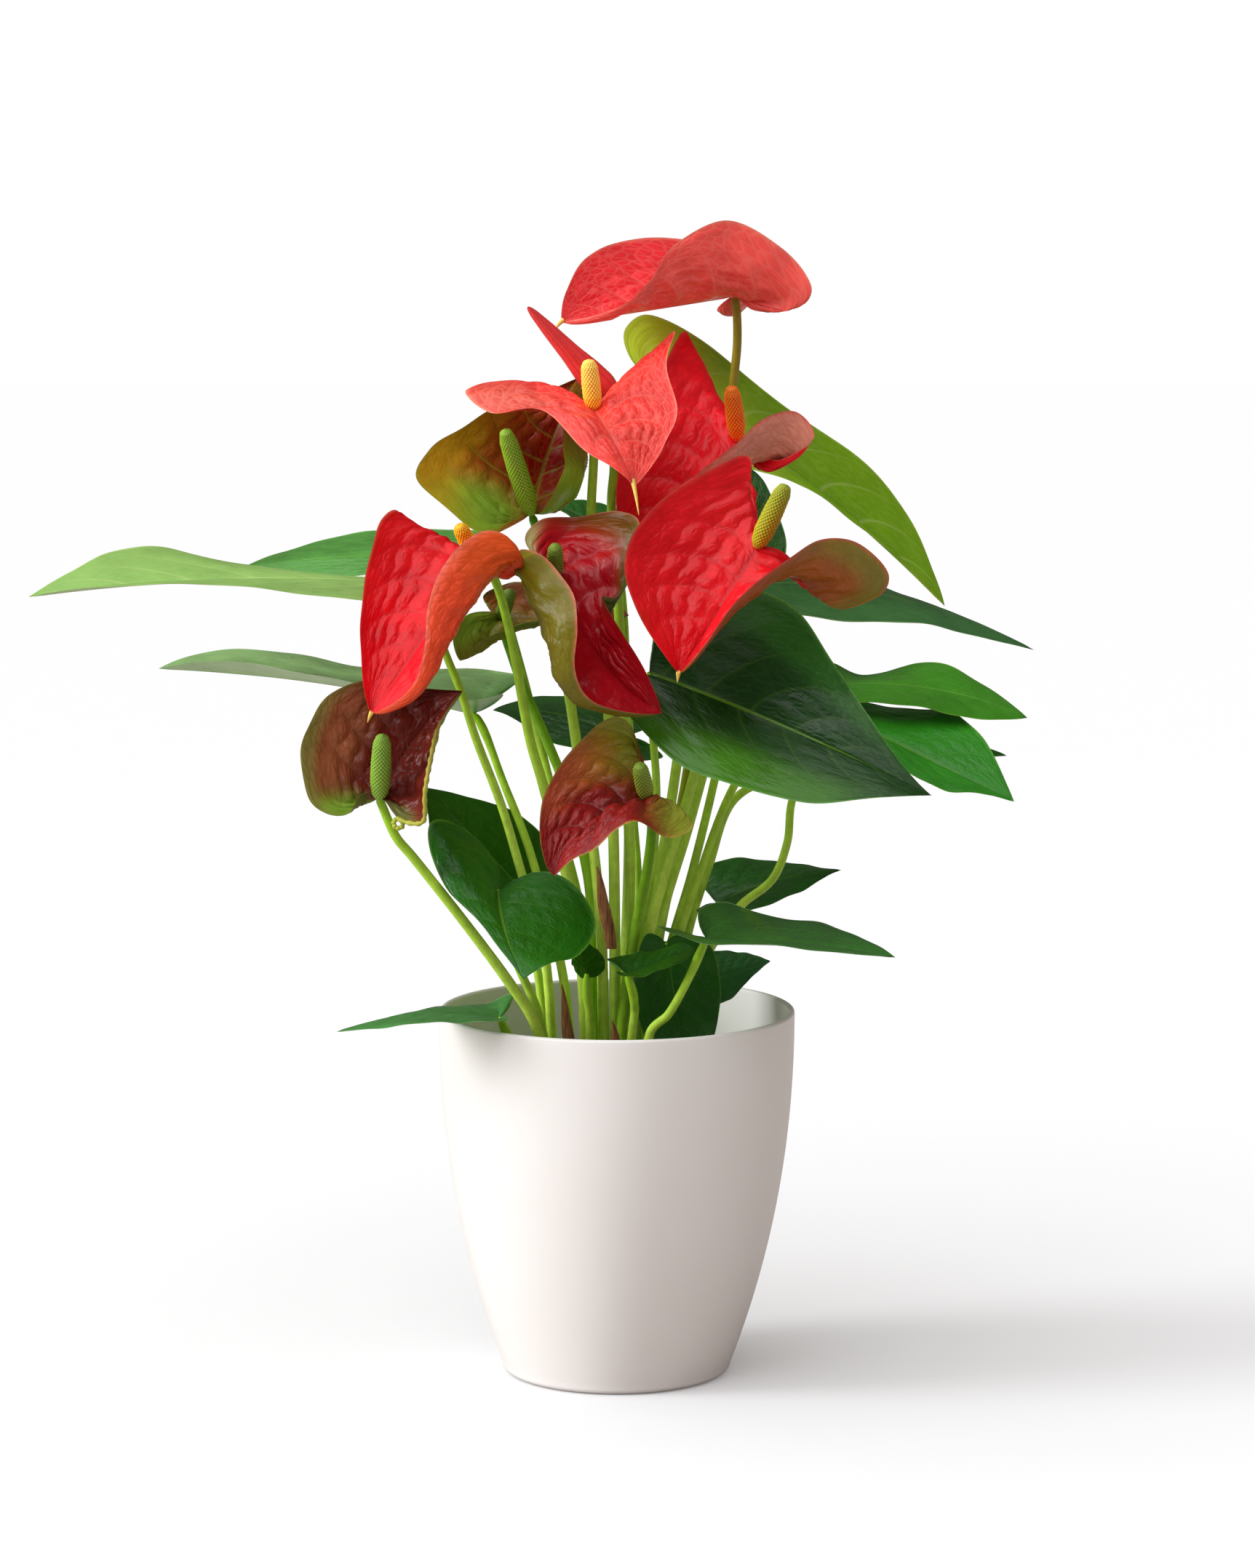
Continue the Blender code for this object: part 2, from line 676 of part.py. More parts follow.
def pot_radius(height):
    """Outer radius: foot + (rim - foot) (1 - (1 - h)^power), with h from 0 at the foot to 1."""
    share = 1 - (1 - height / POT_HEIGHT) ** POT_SIDE_POWER
    return POT_FOOT_RADIUS + (POT_RIM_RADIUS - POT_FOOT_RADIUS) * share


def inner_radius(height):
    return pot_radius(height) - POT_WALL


def cover_pot():
    heights = np.linspace(POT_FOOT_ROUND, POT_HEIGHT - POT_WALL / 2, POT_RINGS)
    ease_in, ease_up = POT_FOOT_EASE
    profile = [(0, 0), (POT_FOOT_RADIUS - POT_FOOT_ROUND, 0)]
    profile.append((POT_FOOT_RADIUS - POT_FOOT_ROUND * ease_in, POT_FOOT_ROUND * ease_up))
    profile += [(pot_radius(height), height) for height in heights]
    middle = POT_RIM_RADIUS - POT_WALL / 2
    for turn in (60, 90, 120):
        reach = POT_WALL / 2
        angle = math.radians(turn)
        lift = POT_HEIGHT - reach + reach * math.sin(angle)
        profile.append((middle + reach * math.cos(angle), lift))
    inside = np.linspace(POT_HEIGHT - POT_WALL / 2, POT_FLOOR, POT_RINGS)
    profile += [(inner_radius(height), height) for height in inside]
    profile.append((0, POT_FLOOR))
    turned("cover_pot", profile, POT_SIDES, "pot")


def nursery_sizes():
    """Foot height, rim height, foot radius and rim radius of the nursery pot in the cover pot."""
    foot = POT_FLOOR + CLEARANCE
    rim = POT_HEIGHT - NURSERY_BELOW_RIM
    return foot, rim, inner_radius(foot) - NURSERY_FOOT_GAP, inner_radius(rim) - NURSERY_RIM_GAP


def nursery_pot():
    foot, rim, foot_radius, rim_radius = nursery_sizes()
    inside_foot, inside_rim = foot_radius - NURSERY_WALL, rim_radius - NURSERY_WALL
    lip = rim_radius + NURSERY_LIP_WIDTH
    profile = [(0, foot), (foot_radius, foot), (rim_radius, rim - NURSERY_LIP_HEIGHT)]
    profile += [(lip, rim - NURSERY_LIP_HEIGHT), (lip, rim), (inside_rim, rim)]
    profile += [(inside_foot, foot + NURSERY_WALL), (0, foot + NURSERY_WALL)]
    pot = turned("nursery_pot", profile, NURSERY_SIDES, "nursery")
    drill = bmesh.new()
    for hole in range(DRAIN_HOLES):
        angle = 2 * math.pi * hole / DRAIN_HOLES
        made = bmesh.ops.create_cone(
            drill, cap_ends=True, segments=DRAIN_HOLE_SIDES, radius1=DRAIN_HOLE_RADIUS * MM,
            radius2=DRAIN_HOLE_RADIUS * MM, depth=DRILL_WALLS * NURSERY_WALL * MM,
        )
        place = (DRAIN_HOLE_CIRCLE * math.cos(angle), DRAIN_HOLE_CIRCLE * math.sin(angle), foot)
        bmesh.ops.translate(drill, verts=made["verts"], vec=[value * MM for value in place])
    mesh = bpy.data.meshes.new("drain_drill")
    drill.to_mesh(mesh)
    drill.free()
    tool = bpy.data.objects.new("drain_drill", mesh)
    bpy.context.collection.objects.link(tool)
    boolean(pot, "DIFFERENCE", tool)


def potting_soil():
    """Fills the nursery pot up to the soil's level, a clearance away from its wall."""
    foot, rim, foot_radius, rim_radius = nursery_sizes()
    bottom = foot + NURSERY_WALL + CLEARANCE
    top = POT_HEIGHT - SOIL_BELOW_RIM
    slope = (rim_radius - foot_radius) / (rim - foot - NURSERY_WALL)

    def soil_radius(height):
        inside = foot_radius - NURSERY_WALL + slope * (height - foot - NURSERY_WALL)
        return inside - 2 * CLEARANCE

    profile = [(0, bottom), (soil_radius(bottom), bottom), (soil_radius(top), top), (0, top)]
    turned("potting_soil", profile, NURSERY_SIDES, "soil")


def above_rim(points):
    return np.asarray(points, float) + (0, 0, POT_HEIGHT)


def smooth_curve(points, shares):
    """A smooth curve through the points, read at shares from 0 to 1 of its length.
    Between two points it is the cubic whose end slopes are the chords past its ends."""
    points = np.asarray(points, float)
    steps = np.sqrt(np.linalg.norm(np.diff(points, axis=0), axis=1))
    knots = np.concatenate([[0], np.cumsum(steps)]) / steps.sum()
    slopes = np.empty_like(points)
    slopes[1:-1] = (points[2:] - points[:-2]) / (knots[2:] - knots[:-2])[:, None]
    slopes[0] = 2 * (points[1] - points[0]) / (knots[1] - knots[0]) - slopes[1]
    slopes[-1] = 2 * (points[-1] - points[-2]) / (knots[-1] - knots[-2]) - slopes[-2]
    piece = np.clip(np.searchsorted(knots, shares, side="right") - 1, 0, len(points) - 2)
    length = (knots[piece + 1] - knots[piece])[:, None]
    t = (np.asarray(shares) - knots[piece])[:, None] / length
    start, end = points[piece], points[piece + 1]
    ease = t * t * (3 - 2 * t)
    leave = t * (1 - t) ** 2 * length * slopes[piece]
    arrive = t * t * (t - 1) * length * slopes[piece + 1]
    return start + (end - start) * ease + leave + arrive


def blade_sheet(row, rows, columns):
    """Points of the middle surface, from the left margin over the midrib to the right one.
    Each line runs from a midrib point to a margin point: M + (E - M) v + 4 v (1 - v) swell.
    The first lines all start at the base, and so sweep round the back lobes."""
    base, tip = above_rim(row["base"]), above_rim(row["tip"])
    u = np.linspace(0, 1, rows + 1)
    along = np.clip((u - LOBE_SHARE) / (1 - LOBE_SHARE), 0, 1)
    rise = 4 * along * (1 - along)
    midrib = base + (tip - base) * along[:, None] + rise[:, None] * np.asarray(row["arch"], float)
    v = np.linspace(0, 1, columns + 1)
    belly = 4 * v * (1 - v)
    fade = np.sin(np.pi * u) ** SWELL_FADE
    halves = []
    for side in ("left", "right"):
        margin = smooth_curve([base, *above_rim(row[side]), tip], u)
        line = midrib[:, None] + (margin - midrib)[:, None] * v[None, :, None]
        swell = np.asarray(row["swell_" + side], float)
        halves.append(line + fade[:, None, None] * belly[None, :, None] * swell)
    return np.concatenate([halves[0][:, ::-1], halves[1][:, 1:]], axis=1)


def sheet_normals(sheet):
    across = np.gradient(sheet, axis=1)
    down = np.gradient(sheet, axis=0)
    normals = np.cross(across, down)
    return normals / np.maximum(np.linalg.norm(normals, axis=2), 1e-9)[..., None]


def blade_solid(row, rows, columns, thickness):
    """Points and faces of a blade that is thickest at the midrib and thins out to its margin.
    Both skins share their points along the margin, at the tip and at the base, and their
    faces are cut along the same diagonals, so that they stay a thickness apart."""
    sheet = blade_sheet(row, rows, columns)
    v = np.abs(np.linspace(-1, 1, 2 * columns + 1))
    offset = sheet_normals(sheet) * (thickness / 2 * (1 - v**THIN_POWER))[None, :, None]
    skins = (sheet + offset, sheet - offset)
    points, index = [], np.zeros((2, rows + 1, 2 * columns + 1), int)
    lobe_rows = int(LOBE_SHARE * rows + 1e-9)
    for i in range(rows + 1):
        for j in range(2 * columns + 1):
            at_base = i == 0 or (j == columns and i <= lobe_rows)
            for skin in (0, 1):
                if at_base and (i or j or skin):
                    index[skin, i, j] = 0
                elif i == rows and (j or skin):
                    index[skin, i, j] = index[0, rows, 0]
                elif skin and j in (0, 2 * columns):
                    index[skin, i, j] = index[0, i, j]
                else:
                    index[skin, i, j] = len(points)
                    points.append(sheet[0, 0] if at_base else skins[skin][i, j])
    faces = []
    for skin in (0, 1):
        for i in range(rows):
            for j in range(2 * columns):
                near, far = (i, j), (i + 1, j + 1)
                for corner in ((i + 1, j), (i, j + 1)):
                    face = [int(index[skin, *place]) for place in (near, corner, far)]
                    if len(set(face)) == 3:
                        faces.append(face[::-1] if (corner[0] == i) != bool(skin) else face)
    return points, faces


def tube_solid(path, radii, sides, flatten=1.0, level_end=False):
    """Points and faces of a closed tube along the path, with one radius for each point.
    Its section is carried along without twist, and is flattened along one of its axes.
    A level end is cut off flat, parallel to the ground."""
    path = np.asarray(path, float)
    heading = np.gradient(path, axis=0)
    heading /= np.linalg.norm(heading, axis=1)[:, None]
    across = np.cross(heading[0], FIRST_ACROSS)
    points = []
    for centre, ahead, radius in zip(path, heading, radii):
        across = across - ahead * (across @ ahead)
        across /= np.linalg.norm(across)
        other = np.cross(ahead, across)
        for side in range(sides):
            angle = 2 * math.pi * side / sides
            reach = math.cos(angle) * across + math.sin(angle) * other * flatten
            points.append(centre + radius * reach)
    if level_end:
        for point in points[-sides:]:
            point[2] = path[-1][2]
    faces = [tuple(range(sides))[::-1]]
    for ring in range(len(path) - 1):
        low, high = ring * sides, (ring + 1) * sides
        for side in range(sides):
            after = (side + 1) % sides
            faces.append((low + side, low + after, high + after, high + side))
    faces.append(tuple(range((len(path) - 1) * sides, len(path) * sides)))
    return points, faces


def stem_path(row, top):
    """From the top down through the row's points to a clearance above the soil."""
    foot = (*row["foot"], CLEARANCE - SOIL_BELOW_RIM)
    route = [top, *above_rim(row["stem"]), above_rim(foot)]
    return smooth_curve(route, np.linspace(0, 1, STEM_RINGS + 1))


def stem_radii(top_radius):
    return top_radius * np.linspace(1, FOOT_SWELL, STEM_RINGS + 1)


def stalk(name, row, top):
    """A flower's stalk, which narrows to a neck just under the flower."""
    start = np.asarray(top, float)
    path = stem_path(row, start)
    ahead = (path[1] - path[0]) / np.linalg.norm(path[1] - path[0])
    radii = stem_radii(STALK_RADIUS)
    neck = [start + ahead * STALK_RADIUS * reach for reach in (NECK_GAP, NECK_END)]
    path = np.concatenate([neck, path[1:]])
    radii = np.concatenate([[STALK_RADIUS * NECK_SHARE, STALK_RADIUS], radii[1:]])
    add_object(name, *tube_solid(path, radii, STEM_SIDES, level_end=True), "stem")


def rod_solid(base, tip, gap, radius, outline):
    """Points and faces of a straight rod of the outline, a gap away from its base."""
    start = gap / np.linalg.norm(tip - base)
    path = [base + (tip - base) * (start + (1 - start) * share) for share, _ in outline]
    return tube_solid(path, [radius * size for _, size in outline], FINGER_SIDES)


def finger(name, row):
    """The spadix: a blunt rod that stands in the flower's base."""
    base, tip = above_rim(row["base"]), above_rim(row["finger_tip"])
    solid = rod_solid(base, tip, FINGER_GAP, row["finger_radius"], FINGER_OUTLINE)
    add_object(name, *solid, "finger")


def flower(number, row):
    blade = blade_solid(row, *SPATHE_GRID, SPATHE_THICKNESS)
    add_object("spathe_" + number, *blade, "spathe")
    finger("spadix_" + number, row)
    stalk("flower_stalk_" + number, row, above_rim(row["base"]))


def young_flower(row):
    """A spathe still rolled into a horn, on its own stalk."""
    base, tip = above_rim(row["base"]), above_rim(row["tip"])
    solid = rod_solid(base, tip, CLEARANCE, YOUNG_ROLL_RADIUS, ROLL_OUTLINE)
    add_object("young_spathe", *solid, "young")
    stalk("young_stalk", row, base)


def leaf(number, row):
    """A blade and its stem, grown together into one solid."""
    name = "leaf_" + number
    blade = add_object(name, *blade_solid(row, *LEAF_GRID, BLADE_THICKNESS), "leaf")
    path = stem_path(row, above_rim(row["base"]))
    ahead = (path[0] - path[1]) / np.linalg.norm(path[0] - path[1])
    path[0] = path[0] + ahead * BLADE_THICKNESS * STEM_REACH
    solid = tube_solid(path, stem_radii(LEAF_STEM_RADIUS), STEM_SIDES, level_end=True)
    boolean(blade, "UNION", add_object(name + "_stem", *solid, "stem"))


def sheath(number, places):
    path = smooth_curve(above_rim(places), [share for share, _ in SHEATH_OUTLINE])
    radii = [SHEATH_WIDTH / 2 * size for _, size in SHEATH_OUTLINE]
    solid = tube_solid(path, radii, STEM_SIDES, SHEATH_THICKNESS / SHEATH_WIDTH)
    add_object("dry_sheath_" + number, *solid, "sheath")


def main():
    clear_scene()
    cover_pot()
    nursery_pot()
    potting_soil()
    for number, row in FLOWERS.items():
        flower(number, row)
    young_flower(YOUNG_FLOWER)
    for number, row in LEAVES.items():
        leaf(number, row)
    for number, places in SHEATHS.items():
        sheath(number, places)


main()
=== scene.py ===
# %% [markdown]
# # A potted anthurium in flower
#
# An anthurium is a houseplant whose "flowers" are waxy red bracts, called spathes, each with a
# finger of tiny flowers, the spadix. This one stands in its black nursery pot inside a plain
# off-white cover pot. Every organ is a surface worked out from a few given points.
# Shapes are in millimetres until they become a mesh, and the scene is in metres, +Z up.

# %% Load the imported frame and note its size
import math
import bmesh
import bpy
import numpy as np
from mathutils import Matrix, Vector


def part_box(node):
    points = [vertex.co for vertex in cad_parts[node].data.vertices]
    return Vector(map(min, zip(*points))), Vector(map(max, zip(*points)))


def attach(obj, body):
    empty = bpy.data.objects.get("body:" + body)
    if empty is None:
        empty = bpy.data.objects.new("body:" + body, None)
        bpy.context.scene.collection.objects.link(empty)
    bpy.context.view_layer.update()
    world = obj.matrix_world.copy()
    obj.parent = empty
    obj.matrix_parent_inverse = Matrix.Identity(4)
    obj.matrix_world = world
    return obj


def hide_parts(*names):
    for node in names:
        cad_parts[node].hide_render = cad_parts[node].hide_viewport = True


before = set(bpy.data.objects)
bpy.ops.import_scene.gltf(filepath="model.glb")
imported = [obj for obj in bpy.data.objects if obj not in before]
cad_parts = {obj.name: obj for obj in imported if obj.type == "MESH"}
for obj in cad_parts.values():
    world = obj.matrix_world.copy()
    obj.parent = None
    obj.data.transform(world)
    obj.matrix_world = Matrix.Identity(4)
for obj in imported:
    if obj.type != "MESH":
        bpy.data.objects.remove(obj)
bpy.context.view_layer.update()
MM = 0.001

# %% [markdown]
# ## Camera and light
#
# A long lens from nearly two metres away keeps the pot's sides almost parallel. The light is
# a low window to the left. A column of wide suns imitates it: they light the whole floor
# evenly, and together they give a shadow that fades out with distance. One very wide sun
# stands for the bright ceiling, whose shadows are too soft to see. Only the high suns are
# mirrored in the leaves, because the low ones would glare on them from the right. A pale room
# all round fills the shadows, and a softbox above the viewer models the fronts.
# The floor is lifted to nearly white for the eye, but throws less light up at the pot.

# %% Camera
def add_object(name, data):
    """Puts new data into the scene as an object."""
    made = bpy.data.objects.new(name, data)
    bpy.context.scene.collection.objects.link(made)
    return made


camera = add_object("camera", bpy.data.cameras.new("camera"))
camera.location = (0.0044, -1.899, 0.4888)
camera.rotation_euler = (math.radians(90 - 7.4), 0, 0)
camera.data.lens = 108.5
camera.data.clip_end = 60
bpy.context.scene.camera = camera
bpy.context.scene.view_settings.view_transform = "Standard"


# %% Helpers for colours and nodes
def linear(colour):
    """Turns an sRGB hex colour, as a painter's chart gives it, into linear red, green, blue."""
    parts = np.array([int(colour[i:i + 2], 16) for i in (1, 3, 5)]) / 255
    return np.where(parts <= 0.04045, parts / 12.92, ((parts + 0.055) / 1.055) ** 2.4)


def rgba(colour):
    return (*linear(colour), 1)


def set_inputs(node, inputs):
    """Gives each input its value, or links it to a socket or to another node's first output."""
    for key, value in inputs.items():
        if isinstance(value, bpy.types.Node):
            value = value.outputs[0]
        if isinstance(value, bpy.types.NodeSocket):
            node.id_data.links.new(value, node.inputs[key])
        else:
            node.inputs[key].default_value = value


def add_node(tree, kind, inputs, **settings):
    """Adds a node, with its own settings and then its inputs."""
    made = tree.nodes.new("ShaderNode" + kind)
    for key, value in settings.items():
        setattr(made, key, value)
    set_inputs(made, inputs)
    return made


# %% The room's fill light, the window and the floor
WINDOW_HEIGHTS = (7.0, 15.0, 25.0)  # degrees above the floor
WINDOW_TURN = 11.0  # degrees towards the viewer from straight left
WINDOW_WIDTH = 22.0  # degrees that each sun fills, which softens the shadow
WINDOW_STRENGTH = 2.6
SKY_HEIGHT, SKY_TURN, SKY_WIDTH, SKY_STRENGTH = 66.0, 38.0, 80.0, 2.0
LOWEST_GLINT = 20.0  # a lower sun lights the plant but leaves no glare on its leaves
FILL_TINT = "#FFF0EA"
FILL_STRENGTH = 0.38
GLOSS_STRENGTH = 0.08  # what shiny surfaces mirror: a room much darker than its window

world = bpy.data.worlds.new("pale_room")
world.use_nodes = True
bpy.context.scene.world = world
tree = world.node_tree
fill = tree.nodes["Background"]
set_inputs(fill, {"Color": rgba(FILL_TINT), "Strength": FILL_STRENGTH})
mirrored = add_node(tree, "Background", {"Color": rgba(FILL_TINT), "Strength": GLOSS_STRENGTH})
paper = add_node(tree, "Background", {"Color": (1, 1, 1, 1), "Strength": 1.0})
path = add_node(tree, "LightPath", {})
room = add_node(tree, "MixShader", {0: path.outputs["Is Glossy Ray"], 1: fill, 2: mirrored})
room = add_node(tree, "MixShader", {0: path.outputs["Is Camera Ray"], 1: room, 2: paper})
set_inputs(tree.nodes["World Output"], {"Surface": room})


def add_sun(height, turn, width, strength):
    """A sun from straight left, turned towards the viewer, at a height, and so many degrees wide."""
    side, up = math.radians(turn), math.radians(height)
    x, y = -math.cos(side) * math.cos(up), -math.sin(side) * math.cos(up)
    sun = add_object("window", bpy.data.lights.new("window", "SUN"))
    sun.rotation_euler = (math.radians(90 - height), 0, math.atan2(y, x) + math.pi / 2)
    sun.data.energy = strength
    sun.data.angle = math.radians(width)
    sun.visible_glossy = height > LOWEST_GLINT


for height in WINDOW_HEIGHTS:
    add_sun(height, WINDOW_TURN, WINDOW_WIDTH, WINDOW_STRENGTH / len(WINDOW_HEIGHTS))
add_sun(SKY_HEIGHT, SKY_TURN, SKY_WIDTH, SKY_STRENGTH)

softbox = add_object("softbox", bpy.data.lights.new("softbox", "AREA"))
softbox.location = (-0.5, -0.9, 1.35)
softbox.rotation_euler = (math.radians(44), 0, math.radians(-29))
softbox.data.shape = "RECTANGLE"
softbox.data.size, softbox.data.size_y = 0.7, 0.5
softbox.data.energy = 2.0

# %% The floor
FLOOR_WHITE = (0.712, 0.732, 0.75, 1)
FLOOR_BOUNCE = (0.5, 0.46, 0.44, 1)  # what every ray but the eye's meets
FLOOR_LIFT = 0.16
floor_mesh = bpy.data.meshes.new("floor")
floor_mesh.from_pydata([(-9, -9, 0), (9, -9, 0), (9, 9, 0), (-9, 9, 0)], [], [(0, 1, 2, 3)])
floor = add_object("floor", floor_mesh)
floor_paint = bpy.data.materials.new("matt_white_backdrop")
floor_paint.use_nodes = True
tree = floor_paint.node_tree
shader = tree.nodes["Principled BSDF"]
set_inputs(shader, {
    "Base Color": FLOOR_WHITE, "Roughness": 1.0, "Specular IOR Level": 0.0,
    "Emission Color": (1, 1, 1, 1), "Emission Strength": FLOOR_LIFT})
dim = add_node(tree, "BsdfDiffuse", {"Color": FLOOR_BOUNCE})
path = add_node(tree, "LightPath", {})
eye_or_not = add_node(tree, "MixShader", {0: path.outputs["Is Camera Ray"], 1: dim, 2: shader})
set_inputs(tree.nodes["Material Output"], {"Surface": eye_or_not})
floor_mesh.materials.append(floor_paint)

# %% [markdown]
# ## Turning surfaces into meshes
#
# A surface here is a grid of points, so its faces are simply the grid's cells. Three helpers
# do all the work: one makes a mesh from grids, one turns a sheet with no thickness into a
# closed one with two skins, and one sweeps a round section along a path.


# %% From grids to a finished piece
def grid_faces(rows, columns, first=0, wrap=False):
    """Cells of a grid numbered row by row from first: (i, j), (i, j+1), (i+1, j+1), (i+1, j)."""
    i = np.arange(rows - 1)[:, None]
    j = np.arange(columns if wrap else columns - 1)[None, :]
    after = (j + 1) % columns
    cells = [i * columns + j, i * columns + after, (i + 1) * columns + after, (i + 1) * columns + j]
    return np.stack(np.broadcast_arrays(*cells), axis=-1).reshape(-1, 4) + first


def make_piece(name, points, faces, material, slot, nodes, attributes=None, sharp=60):
    """A closed piece from points in millimetres. Points that coincide are merged, so poles
    and seams close, and then the faces are turned outwards."""
    mesh = bpy.data.meshes.new(name)
    points = np.asarray(points, float).reshape(-1, 3) * MM
    faces = np.asarray(faces).reshape(-1, 4)
    mesh.vertices.add(len(points))
    mesh.vertices.foreach_set("co", points.ravel())
    mesh.loops.add(faces.size)
    mesh.loops.foreach_set("vertex_index", faces.ravel())
    mesh.polygons.add(len(faces))
    mesh.polygons.foreach_set("loop_start", np.arange(0, faces.size, 4))
    mesh.update(calc_edges=True)
    for key, values in (attributes or {}).items():
        values = np.asarray(values, float)
        colour = values.ndim > 1 and values.shape[-1] == 3
        layer = mesh.attributes.new(key, "FLOAT_COLOR" if colour else "FLOAT", "POINT")
        if colour:
            values = values.reshape(-1, 3)
            values = np.concatenate([values, np.ones((len(values), 1))], axis=1)
        layer.data.foreach_set("color" if colour else "value", values.ravel())
    tidy = bmesh.new()
    tidy.from_mesh(mesh)
    bmesh.ops.remove_doubles(tidy, verts=tidy.verts, dist=2e-6)
    bmesh.ops.dissolve_degenerate(tidy, edges=tidy.edges, dist=1e-6)
    bmesh.ops.recalc_face_normals(tidy, faces=tidy.faces)
    tidy.to_mesh(mesh)
    tidy.free()
    mesh.shade_smooth()
    mesh.set_sharp_from_angle(angle=math.radians(sharp))
    mesh.materials.append(material)
    piece = add_object(name, mesh)
    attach(piece, "root")
    if nodes:
        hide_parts(*nodes)


def two_skins(sheet, normals, thickness):
    """Points and faces of a closed sheet: S + n t / 2 above and S - n t / 2 below, where the
    thickness t is nought along the whole border, so that the skins meet there."""
    rows, columns = sheet.shape[:2]
    offset = normals * (thickness / 2)[..., None]
    points = np.concatenate([(sheet + offset).reshape(-1, 3), (sheet - offset).reshape(-1, 3)])
    upper = grid_faces(rows, columns)
    lower = grid_faces(rows, columns, rows * columns)[:, ::-1]
    return points, np.concatenate([upper, lower])


def sheet_normals(sheet):
    """Unit vectors square to the sheet: across x down, where each is a difference of points."""
    normals = np.cross(np.gradient(sheet, axis=1), np.gradient(sheet, axis=0))
    return normals / np.maximum(np.linalg.norm(normals, axis=2), 1e-9)[..., None]


FIRST_ACROSS = (0.3, 1.0, 0.2)  # no path here runs along this direction


def swept_tube(path, radii, sides):
    """Rings P + r (cos a X + sin a Y) square to the path, closed at both ends by rings of no
    size. X and Y are made square to the path from one fixed direction."""
    path = np.asarray(path, float)
    heading = np.gradient(path, axis=0)
    heading /= np.linalg.norm(heading, axis=1)[:, None]
    across = np.cross(heading, FIRST_ACROSS)
    across /= np.linalg.norm(across, axis=1)[:, None]
    other = np.cross(heading, across)
    path = np.concatenate([path[:1], path, path[-1:]])
    across, other = (np.concatenate([d[:1], d, d[-1:]]) for d in (across, other))
    radii = np.asarray(radii, float)
    if radii.ndim == 1:
        radii = np.repeat(radii[:, None], sides, axis=1)
    none = np.zeros((1, sides))
    radii = np.concatenate([none, radii, none])
    angle = 2 * np.pi * np.arange(sides) / sides
    ring = (np.cos(angle)[None, :, None] * across[:, None]
            + np.sin(angle)[None, :, None] * other[:, None])
    points = path[:, None] + radii[..., None] * ring
    return points, grid_faces(len(path), sides, wrap=True)


def smooth_step(values, low, high):
    """0 below low, 1 above high, and t t (3 - 2 t) between."""
    t = np.clip((values - low) / (high - low), 0, 1)
    return t * t * (3 - 2 * t)


# %% [markdown]
# ## The cover pot
#
# A cover pot of this kind is injection-moulded polypropylene: one thin wall, satin outside,
# with a rounded lip. It is a turned shape, so one profile goes round the axis. The side's
# radius is foot + (rim - foot) (1 - (1 - h)^power), which swells early and ends nearly upright.

# %% Sizes of the pots, from the frame
POT_HEIGHT = 150.0
POT_RIM_RADIUS = 72.5
POT_FOOT_RADIUS = 45.5
POT_SIDE_POWER = 2.15
POT_WALL = 2.6
POT_FLOOR = 3.0
POT_FOOT_ROUND = 3.0
NURSERY_RIM = 116.0
NURSERY_RIM_RADIUS = 58.6
NURSERY_FOOT_RADIUS = 41.2
NURSERY_BASE = 3.3
NURSERY_WALL = 1.2
NURSERY_LIP_WIDTH = 2.5
NURSERY_LIP_HEIGHT = 6.0
NURSERY_EDGE = 0.5
SOIL_LEVEL = 108.0
SOIL_RADIUS = 55.6
SOIL_DEPTH = 30.0
low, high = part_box("cover_pot")
print("cover pot:", round((high.x - low.x) / MM, 1), "x", round((high.z - low.z) / MM, 1), "mm")


def turned(profile, sides):
    """Carries a profile of (radius, height) round +Z: (r cos a, r sin a, h)."""
    profile = np.asarray(profile, float)
    angle = 2 * np.pi * np.arange(sides) / sides
    radius, height = profile[:, :1], profile[:, 1:]
    rings = np.stack([
        radius * np.cos(angle), radius * np.sin(angle), np.broadcast_to(height, (len(profile), sides))
    ], axis=-1)
    return rings, grid_faces(len(profile), sides, wrap=True)


def pot_radius(height):
    """foot + (rim - foot) (1 - (1 - h)^power), with h the share of the height."""
    share = 1 - (1 - height / POT_HEIGHT) ** POT_SIDE_POWER
    return POT_FOOT_RADIUS + (POT_RIM_RADIUS - POT_FOOT_RADIUS) * share


def pot_profile():
    """From the middle of the foot, up the outside, over the lip and down the inside."""
    turn = np.linspace(0, np.pi / 2, 8)
    flat = POT_FOOT_RADIUS - POT_FOOT_ROUND
    foot = np.stack([flat + (pot_radius(POT_FOOT_ROUND) - flat) * np.sin(turn),
                     POT_FOOT_ROUND * (1 - np.cos(turn))], axis=1)
    heights = np.linspace(POT_FOOT_ROUND, POT_HEIGHT - POT_WALL / 2, 70)[1:]
    side = np.stack([pot_radius(heights), heights], axis=1)
    over = np.linspace(0, np.pi, 13)[1:-1]
    lip = np.stack([POT_RIM_RADIUS - POT_WALL / 2 * (1 - np.cos(over)),
                    POT_HEIGHT - POT_WALL / 2 * (1 - np.sin(over))], axis=1)
    down = np.linspace(POT_HEIGHT - POT_WALL / 2, POT_FLOOR, 50)
    inside = np.stack([pot_radius(down) - POT_WALL, down], axis=1)
    return np.concatenate([[(0, 0)], foot, side, lip, inside, [(0, POT_FLOOR)]])


# %% [markdown]
# ### Satin polypropylene
#
# Moulded polypropylene is a little translucent and softly shiny, with the faint orange-peel
# of its mould and a few finger marks. Its index of refraction is 1.49. Roughness varies
# slowly, and the orange-peel is drawn 2 mm wide, coarser than the real one, so that it shows.


# %% Polypropylene and nursery pot plastic
def new_material(name, roughness, ior=1.5):
    """A new node material, its tree and its Principled shader."""
    material = bpy.data.materials.new(name)
    material.use_nodes = True
    shader = material.node_tree.nodes["Principled BSDF"]
    set_inputs(shader, {"Roughness": roughness, "IOR": ior})
    return material, material.node_tree, shader


